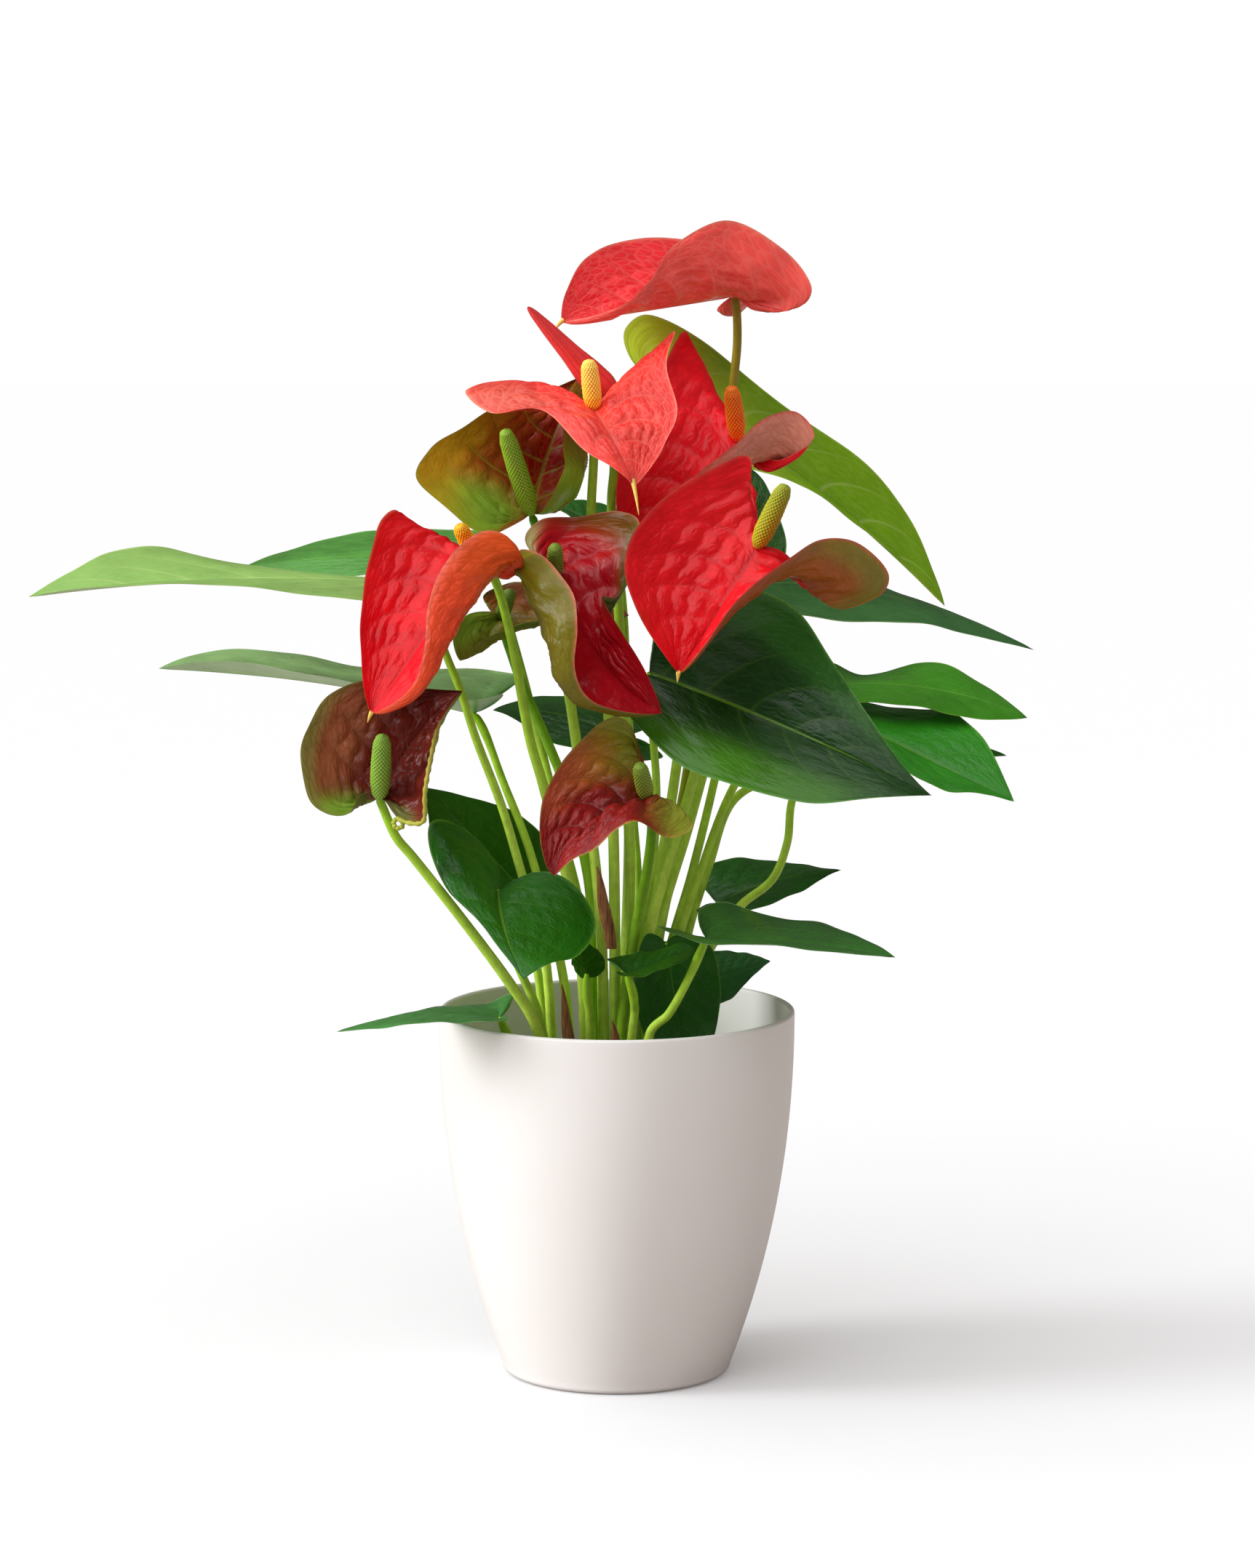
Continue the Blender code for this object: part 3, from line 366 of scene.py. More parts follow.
def plastic(name, colour, marked, roughness, peel_mm, peel_depth):
    """Moulded plastic: slow changes of tone and of roughness, and orange-peel as bump."""
    material, tree, shader = new_material(name, roughness, 1.49)
    place = add_node(tree, "TexCoord", {}).outputs["Object"]
    slow = add_node(tree, "TexNoise", {"Vector": place, "Scale": 1 / (45 * MM), "Detail": 3.0})
    tone = add_node(tree, "Mix", {0: slow, 6: rgba(colour), 7: rgba(marked)}, data_type="RGBA")
    rough = add_node(tree, "MapRange", {0: slow, 3: roughness * 0.85, 4: roughness * 1.2})
    peel = add_node(tree, "TexNoise", {"Vector": place, "Scale": 1 / (peel_mm * MM), "Detail": 2.0})
    bump = add_node(tree, "Bump", {"Height": peel, "Distance": peel_depth * MM, "Strength": 0.5})
    set_inputs(shader, {"Base Color": tone.outputs[2], "Roughness": rough, "Normal": bump})
    return material


polypropylene = plastic("satin_polypropylene", "#F2F2F1", "#EDECEA", 0.3, 2.0, 0.03)
nursery_plastic = plastic("black_recycled_plastic", "#1B1B1C", "#2A2927", 0.55, 1.5, 0.08)
make_piece("pot_wall", *turned(pot_profile(), 180), polypropylene, "pot_plastic", ["cover_pot"])

# %% [markdown]
# ## The nursery pot and its soil
#
# The grower's pot is thin black plastic with a folded lip. It is filled with peat and bark
# fines. The soil's top is a sheet of lumps, with loose bark chips on it, each a small
# faceted stone shape of its own size and turn.


# %% Nursery pot
def nursery_profile():
    """Up the outside, out and over the folded lip, and down the inside."""
    out, inner = NURSERY_RIM_RADIUS + NURSERY_LIP_WIDTH, NURSERY_RIM_RADIUS - NURSERY_WALL
    fold, edge = NURSERY_RIM - NURSERY_LIP_HEIGHT, NURSERY_EDGE
    return [
        (0, NURSERY_BASE), (NURSERY_FOOT_RADIUS, NURSERY_BASE), (NURSERY_RIM_RADIUS, fold),
        (out, fold), (out, NURSERY_RIM - edge), (out - edge, NURSERY_RIM),
        (inner + edge, NURSERY_RIM), (inner, NURSERY_RIM - edge),
        (NURSERY_FOOT_RADIUS - NURSERY_WALL, NURSERY_BASE + NURSERY_WALL),
        (0, NURSERY_BASE + NURSERY_WALL)]


make_piece("nursery_wall", *turned(nursery_profile(), 120), nursery_plastic, "nursery_plastic",
           ["nursery_pot"], sharp=35)


# %% Soil and bark chips
SOIL_WAVES = ((30, 0.9), (14, 0.7), (7, 0.5), (4, 0.3))  # length and height of each set
CHIP_SMALL, CHIP_LARGE = (1.2, 0.8, 0.35), (3.6, 1.8, 0.9)  # half a chip's sides
CHIP_WARP = 0.35
CHIP_CIRCLE = 53.0


def fibrous(name, roughness, scale, colours, spots, noise):
    """A dull material whose noise runs between two colours, with its tree, place and noise."""
    material, tree, shader = new_material(name, roughness)
    place = add_node(tree, "TexCoord", {}).outputs["Object"]
    stretched = add_node(tree, "Mapping", {"Vector": place, "Scale": [1 / (s * MM) for s in scale]})
    fibre = add_node(tree, "TexNoise", {"Vector": stretched, "Scale": 1.0, **noise})
    ramp = add_node(tree, "ValToRGB", {"Fac": fibre})
    for stop, spot, colour in zip(ramp.color_ramp.elements, spots, colours):
        stop.position, stop.color = spot, rgba(colour)
    set_inputs(shader, {"Base Color": ramp})
    return material, tree, shader, place, fibre


def soil_material():
    """Moist peat: near-black brown with lighter fibres, dull all over."""
    material, tree, shader, place, _ = fibrous(
        "peat_and_bark", 0.92, (6, 6, 6), ("#1E1410", "#5B4030"), (0.35, 0.72),
        {"Detail": 6.0, "Roughness": 0.7})
    fine = add_node(tree, "TexNoise", {"Vector": place, "Scale": 1 / (1.4 * MM), "Detail": 4.0})
    set_inputs(shader, {"Normal": add_node(tree, "Bump", {"Height": fine, "Distance": 0.8 * MM})})
    return material


def soil_surface(rings, sides):
    """A disc of lumps: z is a sum of waves of random turn, closed below by a flat cone."""
    chance = np.random.default_rng(11)
    share = np.linspace(0, 1, rings)[:, None]
    angle = 2 * np.pi * np.arange(sides)[None, :] / sides
    x, y = SOIL_RADIUS * share * np.cos(angle), SOIL_RADIUS * share * np.sin(angle)
    z = np.zeros_like(x)
    for size, height in SOIL_WAVES:
        for _ in range(4):
            turn, shift = chance.uniform(0, 2 * np.pi, 2)
            z += height * 0.5 * np.sin(
                2 * np.pi * (x * np.cos(turn) + y * np.sin(turn)) / size + shift)
    z = SOIL_LEVEL + z * (1 - share**6)
    under = np.stack([x[-1:], y[-1:], np.full_like(x[-1:], SOIL_LEVEL - SOIL_DEPTH)], axis=-1)
    foot = np.broadcast_to([0.0, 0.0, SOIL_LEVEL - SOIL_DEPTH], under.shape)
    rings_3d = np.concatenate([np.stack([x, y, z], axis=-1), under, foot])
    return rings_3d, grid_faces(rings + 2, sides, wrap=True)


def bark_chips(count, seed):
    """Boxes whose corners are pushed about, laid on the soil: one cube's corners, scaled,
    turned about the upright and moved, for all chips at once."""
    chance = np.random.default_rng(seed)
    cube = np.array([[x, y, z] for z in (-1, 1) for y in (-1, 1) for x in (-1, 1)], float)
    cells = np.array([
        (0, 2, 3, 1), (4, 5, 7, 6), (0, 1, 5, 4), (2, 6, 7, 3), (0, 4, 6, 2), (1, 3, 7, 5)])
    corner = cube[None] * (1 + chance.uniform(-CHIP_WARP, CHIP_WARP, (count, 8, 3)))
    corner = corner * chance.uniform(CHIP_SMALL, CHIP_LARGE, (count, 3))[:, None]
    turn = chance.uniform(0, 2 * np.pi, count)[:, None]
    c, s = np.cos(turn), np.sin(turn)
    x, y = corner[..., 0] * c - corner[..., 1] * s, corner[..., 0] * s + corner[..., 1] * c
    reach = CHIP_CIRCLE * np.sqrt(chance.uniform(0, 1, count))
    place = chance.uniform(0, 2 * np.pi, count)
    x = x + (reach * np.cos(place))[:, None]
    y = y + (reach * np.sin(place))[:, None]
    z = corner[..., 2] + SOIL_LEVEL + chance.uniform(0.2, 1.2, count)[:, None]
    faces = cells[None] + 8 * np.arange(count)[:, None, None]
    return np.stack([x, y, z], axis=-1), faces


peat = soil_material()
make_piece("soil", *soil_surface(70, 160), peat, "soil", ["potting_soil"], sharp=80)
make_piece("bark_chips", *bark_chips(420, 3), peat, "soil", [], sharp=30)

# %% [markdown]
# ## Where each organ grows
#
# The points below place the plant's organs, in millimetres from the pot's axis, with heights
# above its rim: x to the right, y to the back. A blade hangs on its stem at base and ends at
# tip. Its margins run from the base round a back lobe to the tip, and left is on the left
# hand of someone who stands on its upper face and looks at the tip. The arch is how far the
# midrib's middle stands off a straight line, a swell how far a half bellies out between midrib
# and margin, and either is nought where it isn't given. A stem runs from the base down
# through its points to its foot in the soil.

# %% Organs
FLOWERS = {
    "01": dict(
        base=(48, 28, 289), tip=(-22, -8, 279),
        left=[(59, 16, 288), (74, 8, 285), (78, 4, 293), (66, 2, 308), (44, 0, 319),
            (23, -4, 309), (13, -8, 295), (1, -12, 285)],
        right=[(41, 40, 282), (51, 52, 282), (59, 66, 295), (34, 66, 309), (7, 48, 311),
            (-12, 20, 304), (-20, 0, 291)],
        swell_left=(0, -4, -6), swell_right=(0, 2, -4),
        finger_tip=(52, 40, 304), finger_radius=3.3,
        stem=[(49, 28, 270), (47, 27, 249), (45, 26, 220), (41, 26, 196), (35, 24, 142),
            (27, 18, 83), (13, 12, 24)], foot=(6, 12)),
    "02": dict(
        base=(-9, -25, 245), tip=(7, -62, 217), arch=(0, -4, 3),
        left=[(-3, -14, 248), (8, -6, 258), (23, 2, 275), (20, -14, 261), (24, -30, 245),
            (19, -44, 232), (12, -56, 222)],
        right=[(-14, -16, 246), (-29, -8, 248), (-47, -4, 255), (-60, -18, 252), (-50, -32, 244),
            (-29, -46, 246), (-13, -58, 231), (-1, -62, 224)],
        swell_left=(0, 4, 0), swell_right=(0, 0, 4),
        finger_tip=(-11, -30, 265), finger_radius=3.6,
        stem=[(-9, -20, 226), (-10, -14, 198), (-6, -10, 168), (-3, -8, 116), (-1, -6, 57)], foot=(-1, -3)),
    "03": dict(
        base=(49, 12, 231), tip=(7, -10, 185),
        left=[(58, 2, 226), (66, -6, 224), (79, -8, 233), (72, -10, 243), (59, -14, 241),
            (46, -20, 230), (31, -24, 218), (17, -22, 204)],
        right=[(44, 22, 239), (35, 32, 254), (28, 32, 274), (17, 20, 257), (4, 6, 232),
            (0, -2, 215), (1, -8, 198)],
        swell_left=(2, -4, -10), swell_right=(0, 4, 0),
        finger_tip=(46, 2, 253), finger_radius=3.6,
        stem=[(45, 18, 214), (38, 20, 173), (29, 16, 128), (20, 8, 70), (10, 4, 19)], foot=(5, 5)),
    "04": dict(
        base=(55, -55, 193), tip=(24, -84, 146),
        left=[(65, -54, 191), (73, -52, 183), (86, -50, 168), (103, -52, 173), (106, -56, 183),
            (94, -64, 195), (81, -72, 197), (67, -82, 191), (47, -92, 176), (34, -92, 158)],
        right=[(54, -50, 197), (52, -42, 212), (52, -38, 227), (40, -42, 224), (20, -52, 213),
            (7, -64, 199), (3, -72, 187), (7, -82, 172), (17, -88, 156)],
        swell_left=(2, -4, -4), swell_right=(0, 6, 0),
        finger_tip=(66, -66, 218), finger_radius=3.9,
        stem=[(56, -38, 180), (54, -24, 166), (49, -8, 146), (39, 0, 121), (27, 0, 80),
            (12, -9, 27)], foot=(3, -11)),
    "05": dict(
        base=(-55, -38, 187), tip=(-95, -80, 130),
        left=[(-45, -38, 179), (-39, -46, 188), (-42, -52, 196), (-52, -58, 199), (-61, -66, 194),
            (-69, -72, 183), (-73, -78, 170), (-74, -84, 156), (-79, -88, 141)],
        right=[(-68, -30, 188), (-79, -25, 195), (-87, -24, 205), (-94, -34, 200),
            (-98, -50, 181), (-100, -64, 160), (-98, -76, 141)],
        swell_left=(12, -8, -6), swell_right=(-2, 6, 0),
        finger_tip=(-62, -48, 201), finger_radius=3.4,
        stem=[(-48, -28, 177), (-42, -20, 153), (-35, -18, 114), (-30, -18, 96), (-21, -16, 61),
            (-14, -18, 20)], foot=(-13, -10)),
    "06": dict(
        base=(-34, -16, 203), tip=(-15, 12, 256), arch=(-2, 6, 0),
        left=[(-43, -24, 198), (-52, -32, 196), (-62, -36, 202), (-78, -40, 218), (-74, -34, 229),
            (-63, -26, 237), (-48, -12, 245), (-31, 5, 250)],
        right=[(-30, -20, 204), (-25, -30, 212), (-21, -34, 223), (-21, -20, 237), (-20, -2, 246),
            (-18, 7, 252)],
        swell_left=(0, 6, 0), swell_right=(14, 8, 0),
        finger_tip=(-44, -38, 238), finger_radius=3.9,
        stem=[(-31, -12, 193), (-27, -8, 178), (-24, -7, 157), (-20, -5, 134), (-15, -1, 98),
            (-11, 1, 56)], foot=(-8, 1)),
    "07": dict(
        base=(-24, -36, 181), tip=(18, -62, 128), arch=(-4, 0, -5),
        left=[(-36, -30, 193), (-30, -22, 201), (-15, -20, 202), (1, -30, 205), (9, -40, 201),
            (8, -46, 185), (1, -50, 173), (-6, -52, 173), (2, -58, 160), (12, -64, 144)],
        right=[(-32, -36, 185), (-38, -36, 190), (-29, -50, 189), (-22, -64, 183),
            (-16, -70, 174), (-15, -76, 163), (-16, -78, 147), (-11, -76, 136), (2, -70, 130)],
        swell_left=(0, 3, 0), swell_right=(-14, -6, -6),
        finger_tip=(-24, -52, 193), finger_radius=3.2,
        stem=[(-22, -22, 172), (-22, -16, 164), (-21, -12, 146), (-17, -12, 117), (-10, -14, 73),
            (-6, -14, 28)], foot=(-6, -11)),
    "08": dict(
        base=(-93, -58, 94), tip=(-61, -44, 135), arch=(-3, 6, 2),
        left=[(-100, -60, 96), (-105, -66, 89), (-113, -70, 89), (-120, -70, 96),
            (-123, -66, 113), (-120, -60, 125), (-112, -54, 135), (-98, -46, 139),
            (-78, -42, 136)],
        right=[(-90, -64, 93), (-85, -74, 88), (-75, -82, 88), (-74, -84, 100), (-72, -78, 112),
            (-69, -66, 124)],
        swell_left=(0, 8, 0), swell_right=(4, 6, 0),
        finger_tip=(-91, -72, 121), finger_radius=3.9,
        stem=[(-92, -54, 90), (-87, -52, 78), (-80, -50, 69), (-60, -44, 42), (-42, -38, 16),
            (-32, -34, -2)], foot=(-21, -26)),
    "09": dict(
        base=(12, -56, 94), tip=(-24, -84, 67), arch=(0, -2, 4),
        left=[(19, -58, 92), (30, -66, 85), (22, -76, 81), (6, -84, 88), (-8, -90, 79),
            (-17, -90, 74)],
        right=[(11, -50, 107), (6, -46, 121), (-1, -48, 125), (-14, -56, 117), (-25, -64, 103),
            (-30, -74, 87), (-28, -82, 73)],
        swell_left=(-2, 2, 4), swell_right=(0, 6, 0),
        finger_tip=(9, -70, 109), finger_radius=3.4,
        stem=[(13, -48, 89), (14, -36, 79), (12, -22, 59), (7, -12, 31), (3, -17, 5)], foot=(-1, -20)),
    "10": dict(
        base=(-47, 20, 158), tip=(5, 18, 159),
        left=[(-50, 28, 161), (-55, 38, 165), (-44, 48, 170), (-23, 48, 167), (-5, 34, 165)],
        right=[(-52, 14, 161), (-61, 6, 160), (-66, 2, 151), (-63, 2, 142), (-55, 4, 150),
            (-38, 6, 157), (-14, 10, 158)],
        swell_left=(0, 0, -2), swell_right=(0, -2, -2),
        finger_tip=(-43, 10, 170), finger_radius=3.0,
        stem=[(-46, 20, 152), (-43, 13, 144), (-38, -4, 133), (-29, -8, 113), (-18, -6, 83),
            (-10, -7, 39)], foot=(-15, -2)),
}

YOUNG_FLOWER = dict(
    base=(-1, 0, 247), tip=(-35, -20, 285),
    stem=[(-1, -2, 233), (-1, -2, 220), (-2, -2, 204), (1, 0, 160), (4, 1, 100), (5, 2, 41)],
    foot=(-2, 6),
)

LEAVES = {
    "01": dict(
        base=(35, 46, 238), tip=(137, 70, 158), arch=(0, 0, 7),
        left=[(23, 46, 247), (7, 50, 260), (3, 52, 273), (13, 54, 280), (35, 58, 269),
            (68, 64, 243), (102, 70, 219), (122, 74, 195), (133, 74, 171)],
        right=[(33, 42, 230), (41, 40, 219), (57, 38, 217), (78, 42, 209), (103, 52, 191),
            (122, 64, 175)],
        stem=[(37, 48, 218), (35, 46, 182), (33, 36, 126), (27, 24, 73), (17, 16, 23)], foot=(11, 12)),
    "02": dict(
        base=(-75, -2, 173), tip=(-233, -32, 171), arch=(0, 0, 5),
        left=[(-65, -14, 172), (-71, -34, 169), (-99, -50, 171), (-133, -56, 176),
            (-170, -54, 178), (-205, -44, 176)],
        right=[(-66, 14, 176), (-76, 24, 178), (-103, 26, 174), (-151, 26, 179), (-185, 18, 187),
            (-204, 2, 186), (-218, -18, 180)],
        stem=[(-72, -12, 161), (-69, -22, 150), (-62, -28, 133), (-56, -28, 114), (-46, -22, 86),
            (-38, -16, 57), (-29, -13, 25)], foot=(-26, -6)),
    "03": dict(
        base=(-53, 44, 178), tip=(-157, 68, 174), arch=(0, 0, 4),
        left=[(-43, 34, 180), (-52, 28, 177), (-74, 32, 175), (-110, 44, 173), (-141, 58, 172)],
        right=[(-45, 58, 186), (-60, 76, 189), (-88, 88, 189), (-116, 90, 186), (-140, 84, 180)],
        stem=[(-48, 56, 163), (-41, 46, 140), (-36, 34, 123), (-30, 20, 101), (-22, 8, 70),
            (-13, 8, 28)], foot=(-9, 9)),
    "04": dict(
        base=(-58, 8, 120), tip=(-187, 20, 137), arch=(0, 0, 4),
        left=[(-49, 2, 125), (-46, -4, 129), (-58, -12, 128), (-78, -18, 130), (-104, -16, 135),
            (-131, -12, 140), (-161, 2, 142)],
        right=[(-45, 20, 129), (-39, 32, 132), (-51, 54, 133), (-75, 66, 132), (-106, 70, 133),
            (-136, 62, 139), (-165, 46, 142)],
        stem=[(-53, 2, 112), (-46, -4, 94), (-37, -10, 72), (-30, -10, 48), (-21, -10, 10)], foot=(-19, -7)),
    "05": dict(
        base=(13, -34, 141), tip=(123, -72, 97), arch=(0, 0, 2),
        left=[(15, -38, 153), (17, -40, 166), (32, -44, 175), (52, -45, 176), (71, -43, 167),
            (85, -46, 147), (98, -54, 128), (112, -64, 108)],
        right=[(7, -34, 135), (4, -40, 127), (12, -50, 118), (26, -60, 107), (49, -72, 100),
            (75, -78, 95), (104, -78, 97)],
        stem=[(14, -22, 121), (16, -14, 93), (15, -7, 66), (11, -2, 38), (8, -1, 14)], foot=(4, -6)),
    "06": dict(
        base=(56, 46, 170), tip=(176, 86, 138), arch=(0, 2, 8),
        left=[(51, 54, 176), (61, 72, 177), (86, 88, 171), (115, 98, 163), (146, 100, 151)],
        right=[(51, 38, 167), (57, 32, 160), (73, 30, 158), (99, 34, 155), (129, 50, 152),
            (156, 70, 144)],
        stem=[(52, 44, 149), (47, 38, 123), (41, 32, 93), (31, 22, 53), (20, 12, 15)], foot=(11, 5)),
    "07": dict(
        base=(84, 16, 130), tip=(167, 10, 118), arch=(0, 0, 6),
        left=[(80, 28, 135), (88, 44, 137), (102, 50, 131), (117, 48, 135), (133, 42, 137),
            (150, 28, 130)],
        right=[(79, 2, 128), (84, -8, 127), (100, -12, 127), (125, -12, 124), (147, -4, 119)],
        stem=[(68, 20, 116), (48, 18, 89), (34, 10, 54), (22, 4, 16)], foot=(14, -1)),
    "08": dict(
        base=(91, -14, 121), tip=(158, -38, 90),
        left=[(93, -2, 126), (104, 8, 124), (120, 8, 122), (136, 2, 121), (147, -10, 113),
            (153, -24, 102)],
        right=[(88, -22, 115), (98, -32, 109), (113, -42, 103), (130, -48, 96), (145, -46, 94)],
        stem=[(79, -2, 104), (71, -4, 86), (69, -6, 69), (63, -6, 54), (50, -1, 42), (37, 4, 22),
            (24, 0, -4)], foot=(20, -4)),
    "09": dict(
        base=(-47, -44, 55), tip=(-36, -88, 27), arch=(-2, -4, 1),
        left=[(-41, -42, 59), (-32, -40, 62), (-21, -44, 61), (-12, -52, 53), (-8, -62, 43),
            (-15, -74, 34), (-27, -84, 32)],
        right=[(-47, -34, 62), (-54, -28, 72), (-65, -28, 80), (-74, -34, 81), (-74, -42, 71),
            (-67, -52, 57), (-55, -64, 47), (-45, -78, 37)],
        stem=[(-46, -30, 38), (-39, -24, 20), (-31, -20, -1)], foot=(-25, -14)),
    "10": dict(
        base=(-42, -8, 54), tip=(-76, -18, 93),
        left=[(-46, -16, 51), (-58, -26, 55), (-70, -30, 66), (-75, -26, 80)],
        right=[(-35, 2, 48), (-27, 10, 53), (-30, 12, 69), (-44, 6, 81), (-61, -6, 88)],
        stem=[(-38, -3, 38), (-32, 0, 14)], foot=(-27, 2)),
    "11": dict(
        base=(41, 22, 40), tip=(93, 40, 51), arch=(0, 0, 3),
        left=[(37, 32, 44), (34, 40, 49), (41, 48, 53), (55, 54, 54), (72, 54, 52), (84, 48, 51)],
        right=[(35, 14, 40), (33, 4, 39), (45, 2, 39), (60, 6, 41), (75, 18, 45), (85, 30, 49)],
        stem=[(41, 18, 34), (35, 16, 20), (29, 12, 9), (23, 8, -6)], foot=(21, 4)),
    "12": dict(
        base=(36, -40, 35), tip=(109, -78, 34), arch=(0, 0, 2),
        left=[(33, -30, 40), (34, -18, 44), (45, -10, 45), (64, -14, 40), (84, -28, 39),
            (99, -54, 37)],
        right=[(26, -44, 38), (16, -50, 42), (22, -58, 40), (36, -68, 38), (55, -78, 39),
            (77, -84, 38), (96, -84, 36)],
        stem=[(34, -40, 31), (28, -42, 18), (21, -40, 5), (13, -38, -5)], foot=(12, -35)),
    "13": dict(
        base=(20, -12, 29), tip=(29, -24, -27),
        left=[(27, -8, 32), (38, -8, 27), (42, -10, 14), (41, -14, -2), (37, -18, -16)],
        right=[(12, -16, 33), (8, -20, 23), (7, -22, 9), (11, -26, -7), (19, -27, -19)],
        stem=[(17, -6, 21), (15, -5, 9), (13, -6, -6)], foot=(10, -10)),
    "14": dict(
        base=(40, 24, 8), tip=(64, 44, 12),
        left=[(37, 30, 12), (38, 40, 16), (49, 46, 16), (58, 46, 14)],
        right=[(35, 18, 5), (38, 14, -1), (46, 18, 0), (53, 28, 5), (60, 38, 10)],
        stem=[(38, 20, -3), (34, 16, -15)], foot=(27, 10)),
    "15": dict(
        base=(-47, -40, 3), tip=(-110, -70, 3), arch=(0, 0, 4),
        left=[(-43, -48, 5), (-45, -58, 5), (-56, -70, 7), (-73, -78, 8), (-93, -78, 6)],
        right=[(-43, -32, 6), (-42, -24, 10), (-52, -16, 5), (-64, -20, 5), (-83, -38, 5),
            (-98, -56, 4)],
        stem=[(-45, -38, -1), (-42, -34, -10)], foot=(-34, -24)),
    "16": dict(
        base=(4, -40, 21), tip=(31, -30, 30),
        left=[(-1, -37, 25), (-4, -34, 26), (4, -29, 27), (15, -26, 28), (25, -27, 31)],
        right=[(0, -46, 23), (1, -54, 23), (11, -56, 23), (22, -50, 26), (29, -40, 28)],
        stem=[(6, -38, 15), (7, -34, 9), (7, -30, 1)], foot=(1, -27)),
    "17": dict(
        base=(1, 38, 107), tip=(-52, 64, 115), arch=(0, 0, 4),
        left=[(11, 32, 106), (19, 26, 100), (10, 22, 99), (-8, 22, 102), (-25, 30, 105),
            (-42, 46, 113)],
        right=[(13, 44, 110), (17, 56, 115), (4, 68, 120), (-16, 76, 119), (-35, 78, 119)],
        stem=[(4, 34, 96), (7, 28, 73), (8, 19, 35)], foot=(-5, 20)),
    "18": dict(
        base=(-2, 28, 193), tip=(-27, 46, 203),
        left=[(3, 22, 192), (1, 16, 189), (-10, 18, 192), (-20, 30, 199)],
        right=[(4, 34, 195), (4, 44, 200), (-7, 54, 202), (-17, 54, 204)],
        stem=[(1, 32, 177), (3, 31, 157), (4, 20, 134), (5, 11, 114), (5, 9, 96), (4, 13, 39)], foot=(-1, 13)),
    "19": dict(
        base=(55, 18, 182), tip=(54, 36, 218),
        left=[(52, 14, 179), (47, 14, 182), (47, 22, 196), (50, 32, 210)],
        right=[(60, 14, 178), (67, 16, 180), (69, 20, 189), (65, 28, 202), (60, 34, 213)],
        stem=[(51, 19, 158), (42, 16, 119), (30, 10, 75), (16, 2, 26)], foot=(9, -3)),
    "20": dict(
        base=(121, 36, 106), tip=(163, 62, 96), arch=(0, 0, 2),
        left=[(116, 42, 108), (122, 52, 109), (137, 62, 104), (151, 66, 100)],
        right=[(116, 30, 103), (122, 26, 101), (136, 36, 99), (150, 50, 97)],
        stem=[(100, 34, 98), (69, 30, 92), (48, 26, 82), (38, 22, 56), (28, 16, 23)], foot=(17, 12)),
    "21": dict(
        base=(-12, -22, 18), tip=(-14, -40, 35),
        left=[(-14, -20, 16), (-17, -20, 19), (-18, -28, 26), (-16, -36, 32)],
        right=[(-10, -20, 16), (-5, -20, 19), (-5, -26, 25), (-9, -35, 31)],
        stem=[(-12, -22, 10), (-11, -20, 1)], foot=(-10, -18)),
}

# A sheath is a dry leaf-scale beside the stems' feet, from its foot to its tip
SHEATHS = {
    "01": ((-15, -34, -26), (-19, -34, -6), (-22, -34, 16)),
    "02": ((1, -34, -26), (0, -34, -10), (-2, -34, 1)),
    "03": ((5, -38, -30), (6, -38, -14), (6, -38, -6)),
    "04": ((-2, -22, 28), (-5, -23, 46), (-8, -23, 62)),
}

# %% [markdown]
# ## A blade from its two margins
#
# Leaves and spathes are built alike: heart-shaped sheets with a midrib. Straight lines are
# drawn from the midrib to each margin, and belly out. The first third of them all start at
# the base and sweep round the back lobes. Between the side veins the sheet puffs up, and
# along them it sinks, which gives the quilted look of these plants. A curve's smoothness
# comes from cubics whose slopes at each point follow its neighbours.

# %% Curves and blade sheets
LOBE_SHARE = 0.3
BLADE_ROWS = 104
HALF_COLUMNS = 40
SWELL_FADE = 0.6
FLAT = (0, 0, 0)  # the arch or swell of a row that gives none
ROW_SHARE = np.linspace(0, 1, BLADE_ROWS + 1)[:, None]
SIDE_SHARE = np.linspace(-1, 1, 2 * HALF_COLUMNS + 1)[None, :]


def above_rim(points):
    """From heights above the pot's rim to heights above the floor."""
    return np.asarray(points, float) + (0, 0, POT_HEIGHT)


def smooth_curve(points, shares):
    """The smooth curve through the points, read at shares from 0 to 1. Its knots are spaced
    by the square root of each chord, and its slope at a point is the chord past that point."""
    points = np.asarray(points, float)
    steps = np.sqrt(np.linalg.norm(np.diff(points, axis=0), axis=1))
    knots = np.concatenate([[0], np.cumsum(steps)]) / steps.sum()
    slopes = np.empty_like(points)
    slopes[1:-1] = (points[2:] - points[:-2]) / (knots[2:] - knots[:-2])[:, None]
    slopes[0] = 2 * (points[1] - points[0]) / (knots[1] - knots[0]) - slopes[1]
    slopes[-1] = 2 * (points[-1] - points[-2]) / (knots[-1] - knots[-2]) - slopes[-2]
    piece = np.clip(np.searchsorted(knots, shares, side="right") - 1, 0, len(points) - 2)
    length = (knots[piece + 1] - knots[piece])[:, None]
    t = (np.asarray(shares) - knots[piece])[:, None] / length
    start, end = points[piece], points[piece + 1]
    leave = t * (1 - t) ** 2 * length * slopes[piece]
    arrive = t * t * (t - 1) * length * slopes[piece + 1]
    return start + (end - start) * t * t * (3 - 2 * t) + leave + arrive


